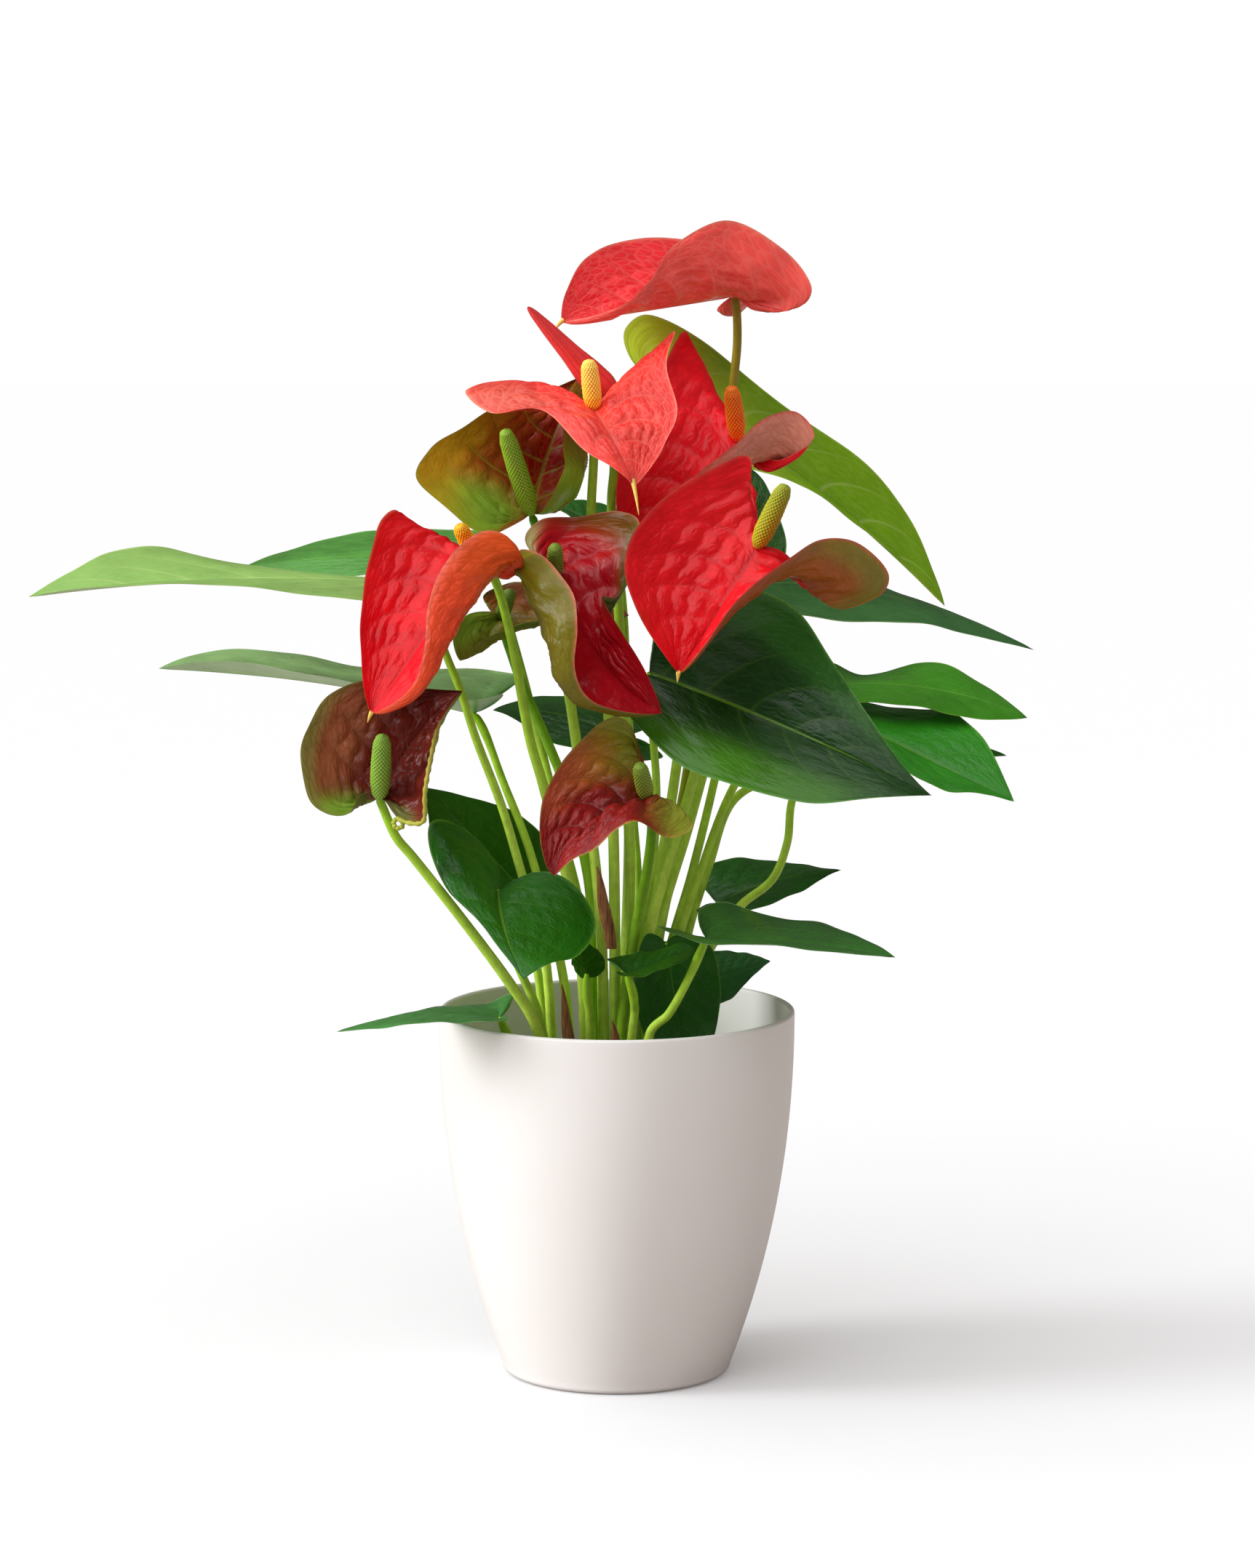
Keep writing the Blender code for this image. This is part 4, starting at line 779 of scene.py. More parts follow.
def blade_sheet(row):
    """M + (E - M) v + 4 v (1 - v) swell, from midrib points M to margin points E, with v
    from 0 at the midrib to 1. Columns run from the left margin to the right one."""
    base, tip = above_rim(row["base"]), above_rim(row["tip"])
    u = np.linspace(0, 1, BLADE_ROWS + 1)
    along = np.clip((u - LOBE_SHARE) / (1 - LOBE_SHARE), 0, 1)[:, None]
    arch = np.asarray(row.get("arch", FLAT), float)
    midrib = base + (tip - base) * along + 4 * along * (1 - along) * arch
    v = np.linspace(0, 1, HALF_COLUMNS + 1)
    fade = np.sin(np.pi * u) ** SWELL_FADE
    halves = []
    for side in ("left", "right"):
        margin = smooth_curve([base, *above_rim(row[side]), tip], u)
        line = midrib[:, None] + (margin - midrib)[:, None] * v[None, :, None]
        belly = fade[:, None, None] * (4 * v * (1 - v))[None, :, None]
        halves.append(line + belly * np.asarray(row.get("swell_" + side, FLAT), float))
    return np.concatenate([halves[0][:, ::-1], halves[1][:, 1:]], axis=1)


VEIN_SWEEP, VEIN_BEND = 0.3, 1.6
CELLS = 5.5  # blisters between two side veins, from midrib to margin
PILLOW_POWER = 2.2
MIDRIB_WIDTH = 0.03
RIM_VEIN, RIM_WIDTH, RIM_DEPTH = 0.93, 0.02, 0.22  # the vein that follows the margin
RIPPLES = ((3.1, 1.0), (6.7, 0.6))  # waves along each margin, and their heights


def blade_relief(sheet, veins, puff, wave, seed):
    """How far each point stands off the sheet, in millimetres, and the count of side veins.
    The count is veins (u - sweep v^1.6), a whole number along each vein, so that the veins
    leave the midrib squarely and bend towards the tip. Cross veins cut each strip between
    two of them into cells, which puff up by 1 - (1 - d)^2.2, where d goes from 0 at a vein to
    1 midway. The midrib is a groove, and the margin waves by wave v^3 sin."""
    u, v, left = ROW_SHARE, np.abs(SIDE_SHARE), SIDE_SHARE < 0
    chance = np.random.default_rng(seed)
    shift = chance.uniform(0, 0.6, 2)
    sweep = VEIN_SWEEP * smooth_step(u, 0.1, 0.45) * (1 - 0.5 * u)
    count = veins * (u - sweep * v**VEIN_BEND) + np.where(left, shift[0], shift[1])
    d = 2 * np.abs(count - np.round(count))
    strip = np.floor(count)
    cell = v * CELLS + 0.5 * np.sin(12.9 * strip + 3 * left) + 0.12 * np.sin(9 * count)
    across = 2 * np.abs(cell - np.round(cell))
    from_midrib = np.linalg.norm(sheet - sheet[:, HALF_COLUMNS][:, None], axis=2)
    open_base = np.where(
        u < LOBE_SHARE, smooth_step(from_midrib, 4, 15), smooth_step(v, 0.02, 0.16))
    calm = open_base * (1 - smooth_step(v, 0.55, 1.0)) * smooth_step(1 - u, 0.0, 0.3)
    pillow = 1 - (1 - d) ** PILLOW_POWER
    height = puff * pillow * calm * (0.35 + 0.65 * (1 - (1 - across) ** 2))
    ridge = np.where(u > LOBE_SHARE, 1.0, 0.0) * smooth_step(1 - u, 0.0, 0.2)
    height -= (0.3 + 0.3 * puff) * np.exp(-((v / MIDRIB_WIDTH) ** 2)) * ridge
    height -= RIM_DEPTH * np.exp(-(((v - RIM_VEIN) / RIM_WIDTH) ** 2)) * np.sin(np.pi * u)
    turns = chance.uniform(0, 2 * np.pi, (2, 2))
    ripple = sum(size * np.sin(2 * np.pi * waves * u + np.where(left, *turn))
                 for (waves, size), turn in zip(RIPPLES, turns))
    height += wave * v**3 * ripple * np.sin(np.pi * u)
    return height, count


def on_both_skins(shape, **marks):
    """Each mark once for every point of the upper skin, and again for the lower one."""
    return {key: np.tile(np.broadcast_to(part, shape).ravel(), 2) for key, part in marks.items()}


def blade_points(row, thickness, veins, puff, wave, seed):
    """The finished blade: its two skins, and for each point the vein count, the share of the
    way to the margin, the share of the way to the tip, and on which skin it lies."""
    sheet = blade_sheet(row)
    height, count = blade_relief(sheet, veins, puff, wave, seed)
    from_base = np.linalg.norm(sheet - sheet[0, 0], axis=2)
    sure = smooth_step(from_base, 0.0, 5.0) * smooth_step(1 - ROW_SHARE, 0.0, 0.03)
    normals = sheet_normals(sheet)
    sheet = sheet + normals * (height * sure)[..., None]
    normals = sheet_normals(sheet)
    body = thickness * (1 - np.abs(SIDE_SHARE) ** 8) * sure
    points, faces = two_skins(sheet, normals, body)
    marks = on_both_skins(body.shape, veins=count, side=SIDE_SHARE, along=ROW_SHARE)
    return points, faces, dict(marks, upper=np.repeat([1.0, 0.0], body.size))


# %% [markdown]
# ## Living tissue
#
# A leaf is covered in a clear wax, so it shines like lacquer over a soft green that is darker
# than below. Its veins are paler. A spathe is the same tissue filled with red. The
# large colour changes over a blade, such as a green lobe or an orange underside, are patches
# listed one by one and kept in the mesh as a colour for each point. The veins, the fine net
# between them and the mottling are drawn by the material's nodes, which read where they are
# on the blade from the mesh.


# %% Patches of colour on a blade
# Some listed patches and one margin colour carry painted shade, sheen and highlight; each is marked where it
# is listed.
def painted(marks, upper_colour, under_colour, margin_colour, patches):
    """The colour of each point: upper or under, then a margin line, then each patch
    (u, v, reach along, reach across, colour, strength, skin) as a soft spot
    exp(-((du / reach)^2 + (dv / reach)^2)^2)."""
    upper = marks["upper"][:, None]
    colour = linear(upper_colour) * upper + linear(under_colour) * (1 - upper)
    for along, side, reach_along, reach_side, tint, strength, skin in patches:
        far = (((marks["along"] - along) / reach_along) ** 2
               + ((marks["side"] - side) / reach_side) ** 2)
        skins = {"upper": marks["upper"], "under": 1 - marks["upper"], "both": 1.0}
        share = strength * np.exp(-far**2) * skins[skin]
        colour = colour + (linear(tint) - colour) * share[:, None]
    edge = smooth_step(np.abs(marks["side"]), 0.965, 1.0)[:, None] * 0.7
    return colour + (linear(margin_colour) - colour) * edge


# %% The waxy tissue of leaves and spathes
def waxy_tissue(name, vein_colour, strengths, mottle, roughness, coat, net_depth, shine):
    """Colour from the mesh, then mottling, then veins: a line where the vein count is whole,
    one along the midrib, and a net of cells between them, with one strength for each."""
    side_vein, midrib_vein, net_vein = strengths
    material, tree, shader = new_material(name, roughness, 1.45)
    tint = add_node(tree, "Attribute", {}, attribute_name="tint").outputs["Color"]
    veins, side = (add_node(tree, "Attribute", {}, attribute_name=key).outputs["Fac"]
                   for key in ("veins", "side"))
    place = add_node(tree, "TexCoord", {}).outputs["Object"]
    cloud = add_node(tree, "TexNoise", {
        "Vector": place, "Scale": 1 / (16 * MM), "Detail": 4.0, "Roughness": 0.6})
    shade = add_node(tree, "MapRange", {0: cloud, 1: 0.3, 2: 0.7, 3: 1 - mottle, 4: 1 + mottle})
    ground = add_node(tree, "Mix", {0: 1.0, 6: tint, 7: shade}, data_type="RGBA",
                      blend_type="MULTIPLY")
    edge = add_node(tree, "Math", {0: side}, operation="ABSOLUTE")
    nearest = add_node(tree, "Math", {0: veins, 1: 0.5}, operation="PINGPONG")
    width = add_node(tree, "MapRange", {0: edge, 1: 0.0, 2: 1.0, 3: 0.1, 4: 0.035})
    line = add_node(tree, "MapRange", {0: nearest, 1: 0.0, 2: width, 3: 1.0, 4: 0.0},
                    interpolation_type="SMOOTHSTEP")
    fade = add_node(tree, "MapRange", {0: edge, 1: 0.55, 2: 0.97, 3: 1.0, 4: 0.15})
    line = add_node(tree, "Math", {0: line, 1: fade}, operation="MULTIPLY")
    line = add_node(tree, "Math", {0: line, 1: side_vein}, operation="MULTIPLY")
    midrib = add_node(tree, "MapRange", {0: edge, 1: 0.008, 2: 0.03, 3: midrib_vein, 4: 0.0},
                      interpolation_type="SMOOTHSTEP")
    drawn = add_node(tree, "Math", {0: line, 1: midrib}, operation="MAXIMUM")
    count = add_node(tree, "Math", {0: veins, 1: 3.5}, operation="MULTIPLY")
    across = add_node(tree, "Math", {0: side, 1: 14.0}, operation="MULTIPLY")
    cells = add_node(tree, "TexVoronoi", {
        "Vector": add_node(tree, "CombineXYZ", {0: count, 1: across}), "Scale": 1.0},
        feature="DISTANCE_TO_EDGE")
    net = add_node(tree, "MapRange", {0: cells, 1: 0.0, 2: 0.14, 3: net_vein, 4: 0.0})
    share = add_node(tree, "Math", {0: drawn, 1: net}, operation="MAXIMUM")
    paint = add_node(tree, "Mix", {0: share, 6: ground.outputs[2], 7: rgba(vein_colour)},
                     data_type="RGBA")
    rough = add_node(tree, "MapRange", {
        0: cloud, 1: 0.3, 2: 0.7, 3: roughness * 0.8, 4: roughness * 1.25})
    pillow = add_node(tree, "MapRange", {0: cells, 1: 0.0, 2: 0.3, 3: 0.0, 4: 1.0},
                      interpolation_type="SMOOTHSTEP")
    grain = add_node(tree, "TexNoise", {
        "Vector": place, "Scale": 1 / (2.2 * MM), "Detail": 3.0, "Roughness": 0.6})
    relief = add_node(tree, "Math", {0: grain, 1: 1.1, 2: pillow}, operation="MULTIPLY_ADD")
    bump = add_node(tree, "Bump", {"Height": relief, "Distance": net_depth * MM, "Strength": 0.7})
    set_inputs(shader, {
        "Specular IOR Level": shine, "Coat Weight": coat, "Coat Roughness": 0.16,
        "Base Color": paint.outputs[2], "Roughness": rough, "Normal": bump})
    return material


leaf_wax = waxy_tissue("waxed_leaf", "#7EB02E", (0.08, 0.4, 0.03), 0.16, 0.32, 0.16, 0.12, 0.34)
pale_leaf_wax = waxy_tissue("young_leaf", "#DCEBA0", (0.2, 0.6, 0.06), 0.1, 0.4, 0.05, 0.07, 0.3)
SPATHE_WAX = {
    "young": waxy_tissue("coral_spathe", "#FF9A88", (0.3, 0.3, 0.22), 0.14, 0.34, 0.12, 0.18, 0.3),
    "ripe": waxy_tissue("red_spathe", "#7A0A10", (0.2, 0.35, 0.16), 0.16, 0.34, 0.12, 0.18, 0.28),
    "brown": waxy_tissue("maroon_spathe", "#4A1410", (0.35, 0.3, 0.2), 0.2, 0.34, 0.16, 0.26, 0.3),
    "old": waxy_tissue("olive_spathe", "#9CC23A", (0.5, 0.4, 0.12), 0.22, 0.34, 0.16, 0.26, 0.3),
}

# %% [markdown]
# ## Stems
#
# A leaf stem is a firm green rod, a little thicker at its foot. Just under the leaf it has a
# knee, a short swelling by which the leaf turns to the light, and its foot widens where it
# clasps the shoot. A flower stalk is straighter and a touch thicker. Both are paler and
# yellower near the soil. Fine lengthwise streaks and a few freckles break the green up.

# %% Stem tissue, swept along the same routes as in the frame
STALK_RADIUS = 1.7
LEAF_STEM_RADIUS = 1.45
FOOT_SWELL = 1.4
STEM_RINGS = 90
STEM_SIDES = 20
KNEE_DEPTH, KNEE_LENGTH = 9.0, 6.0  # below the blade, in millimetres
NECK_LENGTH = 3.0
CLASP_START, CLASP_END = 30.0, 12.0  # above the foot
LEAF_KNEE, LEAF_CLASP = 0.2, 0.45  # how much thicker the stem is there


def stem_tissue(name, top_colour, foot_colour):
    """A green that turns into the foot's colour down the stem, with streaks 0.5 mm wide."""
    material, tree, shader = new_material(name, 0.4, 1.45)
    down = add_node(tree, "Attribute", {}, attribute_name="along").outputs["Fac"]
    place = add_node(tree, "TexCoord", {}).outputs["Object"]
    streak_place = add_node(tree, "Mapping", {
        "Vector": place, "Scale": (1 / (0.5 * MM), 1 / (0.5 * MM), 1 / (14 * MM))})
    streak = add_node(tree, "TexNoise", {"Vector": streak_place, "Scale": 1.0, "Detail": 2.0})
    freckle = add_node(tree, "TexNoise", {"Vector": place, "Scale": 1 / (5 * MM), "Detail": 3.0})
    green = add_node(tree, "Mix", {0: down, 6: rgba(top_colour), 7: rgba(foot_colour)},
                     data_type="RGBA")
    shade = add_node(tree, "MapRange", {0: streak, 1: 0.3, 2: 0.7, 3: 0.92, 4: 1.1})
    tone = add_node(tree, "MapRange", {0: freckle, 1: 0.3, 2: 0.7, 3: 0.88, 4: 1.12})
    both = add_node(tree, "Math", {0: shade, 1: tone}, operation="MULTIPLY")
    paint = add_node(tree, "Mix", {0: 1.0, 6: green.outputs[2], 7: both}, data_type="RGBA",
                     blend_type="MULTIPLY")
    bump = add_node(tree, "Bump", {"Height": streak, "Distance": 0.08 * MM, "Strength": 0.5})
    set_inputs(shader, {
        "Specular IOR Level": 0.3, "Coat Weight": 0.05, "Coat Roughness": 0.25,
        "Base Color": paint.outputs[2], "Normal": bump})
    return material


bright_stem = stem_tissue("bright_stem", "#96CE20", "#D0EE60")
dark_stem = stem_tissue("dark_stem", "#4A8E12", "#A8DA30")
olive_stem = stem_tissue("olive_stem", "#8A7C1C", "#8A9A1E")


def stem_path(row, shares):
    """From the base of the blade down through the row's points to the soil."""
    foot = (*row["foot"], SOIL_LEVEL - POT_HEIGHT - 1.0)
    return smooth_curve(above_rim([row["base"], *row["stem"], foot]), shares)


def down_the_tube(share, sides):
    """The share of the way down, for each point of a tube with its two closing rings."""
    return np.repeat(np.concatenate([[0], share, [1]])[:, None], sides, axis=1)


def make_stem(name, row, radius, material, node, knee=0.0, clasp=0.0):
    """r = radius (1 + (swell - 1) s), thinner just under the blade. A leaf's stem also has its
    knee, a bump of the shape exp(-d^2), and clasps the shoot with a thicker foot."""
    share = np.linspace(0, 1, STEM_RINGS)
    path = stem_path(row, share)
    depth = np.concatenate([[0], np.cumsum(np.linalg.norm(np.diff(path, axis=0), axis=1))])
    radii = radius * (1 + (FOOT_SWELL - 1) * share)
    radii *= 1 + knee * np.exp(-(((depth - KNEE_DEPTH) / KNEE_LENGTH) ** 2))
    radii *= 0.55 + 0.45 * smooth_step(depth, 0, NECK_LENGTH)
    radii *= 1 + clasp * smooth_step(depth, depth[-1] - CLASP_START, depth[-1] - CLASP_END)
    make_piece(name, *swept_tube(path, radii, STEM_SIDES), material, "stem_green", [node],
               dict(along=down_the_tube(share, STEM_SIDES)))


# %% [markdown]
# ## Spathes
#
# Each flower has its own age, and with it its own colours: young ones are coral, ripe ones
# deep red, and old ones turn maroon, then olive and green from the lobes inwards.

# %% The colours of each spathe: upper, under, margin, and patches
SPATHE_COLOURS = {
    "01": ("#F0303A", "#FA544E", "#F09078", [
        (0.15, 0.0, 0.2, 1.2, "#F06A60", 0.6, "both")]),
    "02": ("#EE3A34", "#C8221E", "#F2987C", [
        (0.15, -0.3, 0.16, 0.6, "#EE6A34", 0.5, "upper"),
        # Painted shade: this darker patch on the lobe at the viewer's left stands for shade.
        (0.5, 0.75, 0.14, 0.4, "#C84E3C", 0.8, "upper")]),
    "03": ("#FA1226", "#DC6254", "#E06A58", [
        (0.42, -0.9, 0.25, 0.6, "#E89A84", 0.8, "under")]),
    "04": ("#D80C1A", "#A04A22", "#DE5A50", [
        (0.42, -0.7, 0.2, 0.5, "#A85A1E", 1.0, "under"),
        (0.42, -1.0, 0.22, 0.25, "#7E7A28", 0.95, "both")]),
    "05": ("#DE0C1C", "#E44A26", "#F0846C", [
        (0.35, -0.7, 0.18, 0.7, "#E0561E", 0.9, "under")]),
    "06": ("#AC521E", "#8A7622", "#B4B032", [
        (0.3, -0.8, 0.15, 0.75, "#86C43A", 0.95, "upper"),
        (0.56, -1.0, 0.26, 0.36, "#CC9E1A", 0.95, "upper"),
        (0.62, -0.02, 0.3, 0.34, "#A80E1E", 0.95, "upper"),
        (0.25, 0.95, 0.26, 0.6, "#86C42E", 1.0, "both")]),
    "07": ("#B00C1C", "#68640E", "#C07A5A", [
        (0.1, -1.0, 0.08, 0.3, "#B4B878", 0.95, "upper"),
        (0.42, -1.0, 0.2, 0.34, "#6A420A", 1.0, "both"),
        (0.58, -1.0, 0.13, 0.34, "#3E5A12", 1.0, "both")]),
    "08": ("#6C2018", "#6A6E30", "#A8B058", [
        # Partly the spathe's own brown, partly a painted sheen: the paler brown patch on its left half.
        (0.56, -0.75, 0.24, 0.36, "#BE744A", 0.62, "upper"),
        (0.22, -0.75, 0.11, 0.6, "#86B43A", 0.95, "upper"),
        (0.48, -1.0, 0.24, 0.14, "#94984E", 0.8, "upper"),
        (0.62, 0.1, 0.16, 0.4, "#7A2A1C", 0.7, "upper"),
        (0.2, 0.9, 0.12, 0.55, "#7E8E4C", 0.85, "both")]),
    "09": ("#8E1818", "#8A6A2A", "#B8A44A", [
        (0.34, 0.85, 0.17, 0.6, "#96A226", 0.95, "upper"),
        (0.5, 0.75, 0.12, 0.3, "#C0802A", 0.8, "upper"),
        (0.62, 0.85, 0.14, 0.3, "#B0502A", 0.8, "upper"),
        (0.26, -0.9, 0.18, 0.5, "#93A230", 0.95, "both"),
        (0.5, 0.0, 0.2, 0.3, "#5E1812", 0.5, "upper")]),
    "10": ("#8A4A18", "#6A7A22", "#93A83C", [
        (0.24, 0.6, 0.2, 0.9, "#7CA22C", 0.95, "both"),
        (0.5, 0.4, 0.16, 0.6, "#9A8A1E", 0.7, "both")]),
}
SPATHE_SLOTS = {
    "01": "spathe_coral", "02": "spathe_coral", "06": "spathe_olive", "08": "spathe_maroon",
    "09": "spathe_maroon", "10": "spathe_olive",
}
SPATHE_AGE = {"01": "young", "02": "young", "06": "old", "08": "brown", "09": "brown", "10": "brown"}
SPATHE_PUFF = {"01": 1.9, "02": 1.3, "03": 1.5, "04": 1.8, "05": 1.6, "06": 2.3, "07": 1.8,
               "08": 2.5, "09": 2.4, "10": 1.8}
SPATHE_THICKNESS, SPATHE_VEINS, SPATHE_WAVE = 0.8, 8.0, 0.5
for number, row in FLOWERS.items():
    points, faces, marks = blade_points(
        row, SPATHE_THICKNESS, SPATHE_VEINS, SPATHE_PUFF[number], SPATHE_WAVE, 40 + int(number))
    tint = painted(marks, *SPATHE_COLOURS[number])
    make_piece("bract_" + number, points, faces, SPATHE_WAX[SPATHE_AGE.get(number, "ripe")],
               SPATHE_SLOTS.get(number, "spathe_red"), ["spathe_" + number], dict(tint=tint, **marks))


def make_point(number, row, length):
    """The blade's own drawn-out tip: a cone P + r (1 - s) that bends down a little."""
    tip = above_rim(row["tip"])
    margin_end = (above_rim(row["left"][-1]) + above_rim(row["right"][-1])) / 2
    ahead = (tip - margin_end) / np.linalg.norm(tip - margin_end)
    s = np.linspace(0, 1, 16)[:, None]
    path = tip + length * (ahead * (s - 0.25) + np.array([0, 0, -0.35]) * s**2)
    points, faces = swept_tube(path, 1.0 * (1 - s[:, 0]) ** 0.7 + 0.05, 12)
    make_piece("bract_point_" + number, points, faces, yellow_tip,
               SPATHE_SLOTS.get(number, "spathe_red"), ["spathe_" + number])


yellow_tip, tree, shader = new_material("yellow_tip", 0.4, 1.45)
place = add_node(tree, "TexCoord", {}).outputs["Object"]
cloud = add_node(tree, "TexNoise", {"Vector": place, "Scale": 1 / (1.5 * MM)})
paint = add_node(tree, "Mix", {0: cloud, 6: rgba("#E2B23A"), 7: rgba("#F0DA7A")}, data_type="RGBA")
set_inputs(shader, {"Base Color": paint.outputs[2]})
for number, length in (("01", 5), ("02", 11), ("04", 3.5), ("05", 3.5)):
    make_point(number, FLOWERS[number], length)
print("spathes:", len(FLOWERS))


# %% [markdown]
# ### The rolled edge of the oldest spathe
#
# As it dries, the right margin of one spathe has rolled into a thin crinkled bead, which ends
# below in a curl. A tube along the margin, wavy in thickness, gives the bead, and a spiral
# that shrinks as it turns gives the curl.


# %% Rolled edge
EDGE_SIDES = 14
EDGE_RADIUS = 0.8
CURL_POINTS = 40
CURL_TURNS = 1.2


def make_rolled_edge(number, first, last, curl):
    """A bead r (1 + 0.25 sin) along the right margin from first to last share of it, after a
    spiral P + c (1 - 0.6 t) (sin a X + (cos a - 1) Z) with the angle a = 2 pi turns t."""
    margin = blade_sheet(FLOWERS[number])[:, -1]
    bead = margin[int(first * BLADE_ROWS):int(last * BLADE_ROWS)]
    t = np.linspace(0, 1, CURL_POINTS)[:, None]
    turn = 2 * CURL_TURNS * np.pi * t
    spiral = bead[0] + curl * (1 - 0.6 * t) * (
        np.sin(turn) * np.array([1.0, -0.2, 0.0]) - (1 - np.cos(turn)) * np.array([0.0, 0.1, 1.0]))
    path = np.concatenate([spiral[:0:-1], bead])
    share = np.linspace(0, 1, len(path))
    radii = EDGE_RADIUS * (1 + 0.25 * np.sin(150 * share)) * smooth_step(1 - share, 0, 0.15) + 0.1
    points, faces = swept_tube(path, radii, EDGE_SIDES)
    make_piece("bract_edge_" + number, points, faces, edge_tissue, SPATHE_SLOTS[number],
               ["spathe_" + number], dict(along=down_the_tube(share, EDGE_SIDES)))


edge_tissue = stem_tissue("rolled_edge", "#A8B83E", "#9A8A3A")
make_rolled_edge("08", 0.24, 0.9, 2.4)

# %% [markdown]
# ## Spadices
#
# The finger is packed with tiny flowers in crossing spirals, so its surface is a lattice of
# knobs: r = R outline(s) (1 + depth |cos p cos q|), where p and q wind round it in opposite
# senses. Young ones are yellow, and turn green from the bottom up as they ripen.

# %% Fingers
FINGER_RINGS = 120
FINGER_SIDES = 72
FINGER_OUTLINE = (  # share of the way up, and share of the radius
    (0.0, 0.45), (0.08, 0.8), (0.25, 1.0), (0.55, 1.0), (0.85, 0.88), (0.96, 0.6), (1.0, 0.0))
KNOB_PITCH = 1.9
KNOB_SPIRALS = 8
KNOB_LOW, KNOB_RISE = 0.92, 0.14  # in the gaps, and how much more on a crown
FINGER_COLOURS = {
    "01": ("#F2C24A", "#E0A83A"), "02": ("#FFC22E", "#FFD060"), "03": ("#F28A1E", "#E0700E"),
    "04": ("#A8A218", "#8A9420"), "05": ("#F6C21A", "#E0A81A"), "06": ("#8CB82A", "#7AA028"),
    "07": ("#7FA030", "#6E8A2A"), "08": ("#86AE3C", "#76A036"), "09": ("#8A9A34", "#6E8A2A"),
    "10": ("#6E8E34", "#5E7A2A"),
}
FINGER_SLOTS = {
    "01": "spadix_yellow", "02": "spadix_yellow", "03": "spadix_orange", "05": "spadix_yellow"}


def knob_tissue_with_painted_light():
    """Tiny waxy knobs: each crown gets a painted highlight, and the gaps round it painted shade."""
    material, tree, shader = new_material("spadix_knobs_painted_light", 0.55, 1.45)
    tint = add_node(tree, "Attribute", {}, attribute_name="tint").outputs["Color"]
    crown = add_node(tree, "Attribute", {}, attribute_name="crown").outputs["Fac"]
    # Painted light: the tint runs from 0.42 in the gaps, as painted shade, to 1.55 on the crowns, as a painted
    # highlight.
    shade = add_node(tree, "MapRange", {0: crown, 1: 0.0, 2: 0.8, 3: 0.42, 4: 1.55})
    paint = add_node(tree, "Mix", {0: 1.0, 6: tint, 7: shade}, data_type="RGBA",
                     blend_type="MULTIPLY")
    place = add_node(tree, "TexCoord", {}).outputs["Object"]
    grain = add_node(tree, "TexNoise", {"Vector": place, "Scale": 1 / (0.7 * MM), "Detail": 2.0})
    bump = add_node(tree, "Bump", {"Height": grain, "Distance": 0.1 * MM})
    set_inputs(shader, {"Base Color": paint.outputs[2], "Normal": bump})
    return material


def make_finger(number, row, material):
    """R outline(s) (low + rise |cos(8 a + climb) cos(8 a - climb)|^0.7), with a round tip."""
    base, tip = above_rim(row["base"]), above_rim(row["finger_tip"])
    length = np.linalg.norm(tip - base)
    s = 1 - (1 - np.linspace(0, 1, FINGER_RINGS)) ** 1.15
    path = base + (tip - base) * s[:, None]
    outline = np.interp(s, *np.array(FINGER_OUTLINE).T)
    dome = np.sqrt(np.clip((1 - s) * length / (0.8 * row["finger_radius"]), 0, 1))
    angle = KNOB_SPIRALS * (2 * np.pi * np.arange(FINGER_SIDES)[None, :] / FINGER_SIDES)
    climb = np.pi * s[:, None] * length / KNOB_PITCH
    crown = np.abs(np.cos(angle + climb) * np.cos(angle - climb)) ** 0.7
    radii = row["finger_radius"] * np.minimum(outline, dome)[:, None]
    points, faces = swept_tube(path, radii * (KNOB_LOW + KNOB_RISE * crown), FINGER_SIDES)
    low, high = (linear(colour) for colour in FINGER_COLOURS[number])
    # The knob heights also go to the material, which paints highlights on the crowns and shade in the gaps.
    crown = np.concatenate([crown[:1], crown, crown[-1:]])
    rise = np.concatenate([s[:1], s, s[-1:]])[:, None, None]
    tint = np.broadcast_to(high + (low - high) * (1 - rise), (*crown.shape, 3))
    make_piece("finger_" + number, points, faces, material,
               FINGER_SLOTS.get(number, "spadix_green"), ["spadix_" + number],
               dict(tint=tint, crown=crown))


spadix_knobs_painted_light = knob_tissue_with_painted_light()
STALK_LOOKS = {"01": olive_stem, "06": dark_stem, "09": dark_stem, "10": dark_stem}
for number, row in FLOWERS.items():
    make_finger(number, row, spadix_knobs_painted_light)
    make_stem("stalk_" + number, row, STALK_RADIUS, STALK_LOOKS.get(number, bright_stem),
              "flower_stalk_" + number)

# %% [markdown]
# ## The young flower
#
# A new spathe is rolled into a horn. It is one sheet wound one and a quarter times round, its
# radius shrinking a little on the way, so that the free edge shows as a line down the horn.

# %% Rolled spathe
ROLL_OUTLINE = (  # share of the way up, and radius
    (0.0, 2.0), (0.06, 5.4), (0.16, 6.6), (0.32, 5.8), (0.5, 4.2), (0.75, 2.8), (0.95, 1.3),
    (1.0, 0.3))
ROLL_TURNS = 1.3
ROLL_THICKNESS = 0.7
YOUNG_RED, YOUNG_GREEN = "#F0343C", "#A8B552"


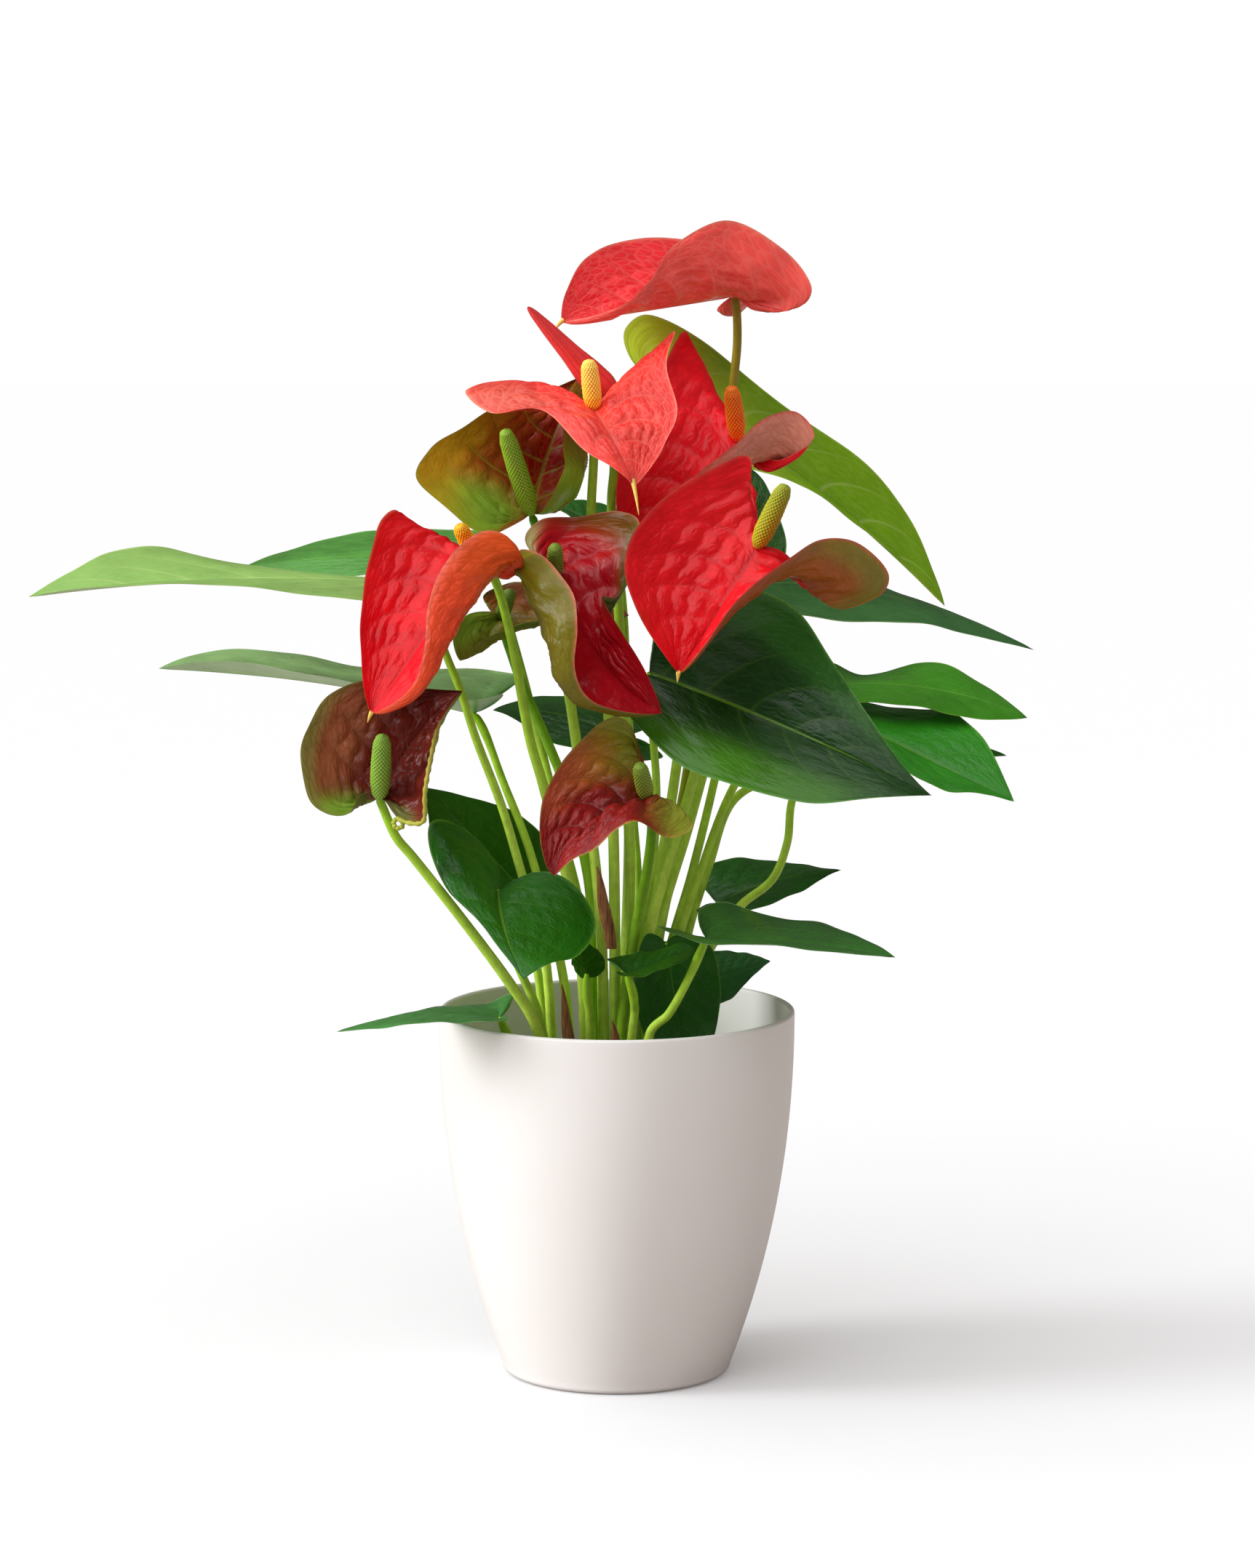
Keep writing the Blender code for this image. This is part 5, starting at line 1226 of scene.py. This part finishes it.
def rolled_sheet(row, rows=120, columns=110):
    """A + r(s) (1 - 0.16 t) (cos X + sin Y) with the angle 2.6 pi t: a spiral in section."""
    base, tip = above_rim(row["base"]), above_rim(row["tip"])
    s = np.linspace(0, 1, rows)
    radius = np.interp(s, *np.array(ROLL_OUTLINE).T)
    radius = np.convolve(np.pad(radius, 4, mode="edge"), np.ones(9) / 9, mode="valid")
    axis = (tip - base) / np.linalg.norm(tip - base)
    x = np.cross(axis, (0.0, 1.0, 0.0))
    x /= np.linalg.norm(x)
    y = np.cross(axis, x)
    t = np.linspace(0, 1, columns)[None, :]
    angle = 2 * ROLL_TURNS * np.pi * t + 0.55 + 0.5 * s[:, None]
    reach = radius[:, None] * (1 - 0.16 * t)
    ring = np.cos(angle)[..., None] * x + np.sin(angle)[..., None] * y
    return (base + (tip - base) * s[:, None])[:, None] + reach[..., None] * ring, s[:, None], t


def make_rolled_spathe():
    """The wound sheet with two skins, red, and green towards its foot."""
    sheet, s, t = rolled_sheet(YOUNG_FLOWER)
    border = smooth_step(np.minimum(t, 1 - t), 0, 0.02) * smooth_step(np.minimum(s, 1 - s), 0, 0.02)
    points, faces = two_skins(sheet, sheet_normals(sheet), ROLL_THICKNESS * border)
    marks = on_both_skins(border.shape, veins=t * 14, side=0.15 + 0.7 * t, along=s)
    green = smooth_step(1 - marks["along"], 0.86, 1.0)[:, None] * 0.6
    tint = linear(YOUNG_RED) + (linear(YOUNG_GREEN) - linear(YOUNG_RED)) * green
    make_piece("rolled_bract", points, faces, SPATHE_WAX["young"], "spathe_coral", ["young_spathe"],
               dict(tint=tint, **marks))


make_rolled_spathe()
make_stem("young_flower_stalk", YOUNG_FLOWER, STALK_RADIUS, bright_stem, "young_stalk")

# %% [markdown]
# ## Leaves
#
# Old leaves are a deep bottle green above and a duller, paler green below. The youngest are
# yellow-green all over. Each has a light midrib and a thin pale margin.

# %% The colours of each leaf: upper, under, margin, and patches
OLD_LEAF = ("#1C600A", "#4E8A3A", "#6EA03A", [])
LEAF_COLOURS = {
    "01": ("#72A404", "#A0C830", "#B0CE5A", [
        (0.2, 0.0, 0.24, 1.3, "#CCF03C", 0.95, "both")]),
    "02": ("#8CBA60", "#A2CA80", "#C8E09C", []),
    "03": ("#4C8A3A", "#7CA860", "#97BE70", []),
    "04": ("#9CC882", "#A4CC90", "#B8D898", [
        (0.1, 0.0, 0.2, 1.2, "#3C8A30", 0.85, "both")]),
    "05": ("#0E3C0A", "#5E8A4A", "#5E9A3A", [
        # Partly the leaf's own green, partly a painted sheen: the lighter bands near both margins.
        (0.5, 0.85, 0.3, 0.4, "#3E7A0E", 0.9, "upper"),
        (0.5, -0.9, 0.4, 0.3, "#286416", 0.8, "upper")]),
    "06": ("#3A6E3A", "#7A9A6A", "#8DB46A", []),
    "07": ("#3C8A18", "#5E9A4A", "#8AB83A", []),
    "08": ("#2E8A1C", "#6EAA4A", "#7EB03A", []),
    # Partly the leaf's pale edge, partly a painted highlight: the very pale margin line.
    "12": ("#326E28", "#6E9A64", "#A8C898", []),
    "14": ("#2F6E34", "#6E9A5A", "#6E9A4E", []),
    "15": ("#4A8A44", "#7FAE7A", "#A8C98A", []),
}
YOUNG_LEAVES = ("01", "02")
LEAF_THICKNESS, LEAF_VEINS, LEAF_PUFF, LEAF_WAVE = 0.6, 9.0, 0.35, 0.4
for number, row in LEAVES.items():
    node = "leaf_" + number
    points, faces, marks = blade_points(
        row, LEAF_THICKNESS, LEAF_VEINS, LEAF_PUFF, LEAF_WAVE, 80 + int(number))
    tint = painted(marks, *LEAF_COLOURS.get(number, OLD_LEAF))
    young = number in YOUNG_LEAVES
    make_piece("blade_" + number, points, faces, pale_leaf_wax if young else leaf_wax,
               "leaf_light" if young else "leaf_dark", [node], dict(tint=tint, **marks))
    make_stem("petiole_" + number, row, LEAF_STEM_RADIUS, bright_stem, node, LEAF_KNEE, LEAF_CLASP)
print("leaves:", len(LEAVES))

# %% [markdown]
# ## Dry sheaths
#
# A papery scale once wrapped each new shoot, and now clings to the stems, brown and split.
# It is a strip bent round the stem behind it, tapering to a point.


# %% Papery sheaths
SHEATH_WIDTH = 5.2
SHEATH_THICKNESS = 0.5
SHEATH_BEND = 1.2  # half the angle it is bent through


def dry_paper():
    """Dead plant skin: brown with darker fibres that run along it."""
    material, tree, shader, _, fibre = fibrous(
        "dry_leaf_sheath", 0.75, (0.6, 0.6, 12), ("#5A2C18", "#B07A48"), (0.3, 0.7), {"Detail": 4.0})
    set_inputs(shader, {"Normal": add_node(tree, "Bump", {"Height": fibre, "Distance": 0.3 * MM})})
    return material


def sheath_sheet(places, rows=50, columns=16):
    """A strip that bends back at its sides: P + w(s) (sin a X + (1 - cos a) back)."""
    s = np.linspace(0, 1, rows)
    path = smooth_curve(above_rim(places), s)
    half = SHEATH_WIDTH / 2 * (0.75 + 0.25 * np.sin(np.pi * s)) * (1 - s**3) + 0.05
    angle = np.linspace(-SHEATH_BEND, SHEATH_BEND, columns)[None, :]
    sheet = np.repeat(path[:, None], columns, axis=1)
    sheet[..., 0] += half[:, None] * np.sin(angle) / math.sin(SHEATH_BEND)
    sheet[..., 0] += 0.25 * np.sin(9 * s)[:, None]
    sheet[..., 1] += half[:, None] * (1 - np.cos(angle))
    return sheet


parchment = dry_paper()
for number, places in SHEATHS.items():
    sheet = sheath_sheet(places)
    rows, columns = sheet.shape[:2]
    solid = np.zeros((rows, columns))
    solid[1:-1, 1:-1] = SHEATH_THICKNESS
    points, faces = two_skins(sheet, sheet_normals(sheet), solid)
    make_piece("sheath_" + number, points, faces, parchment, "dry_scale", ["dry_sheath_" + number])
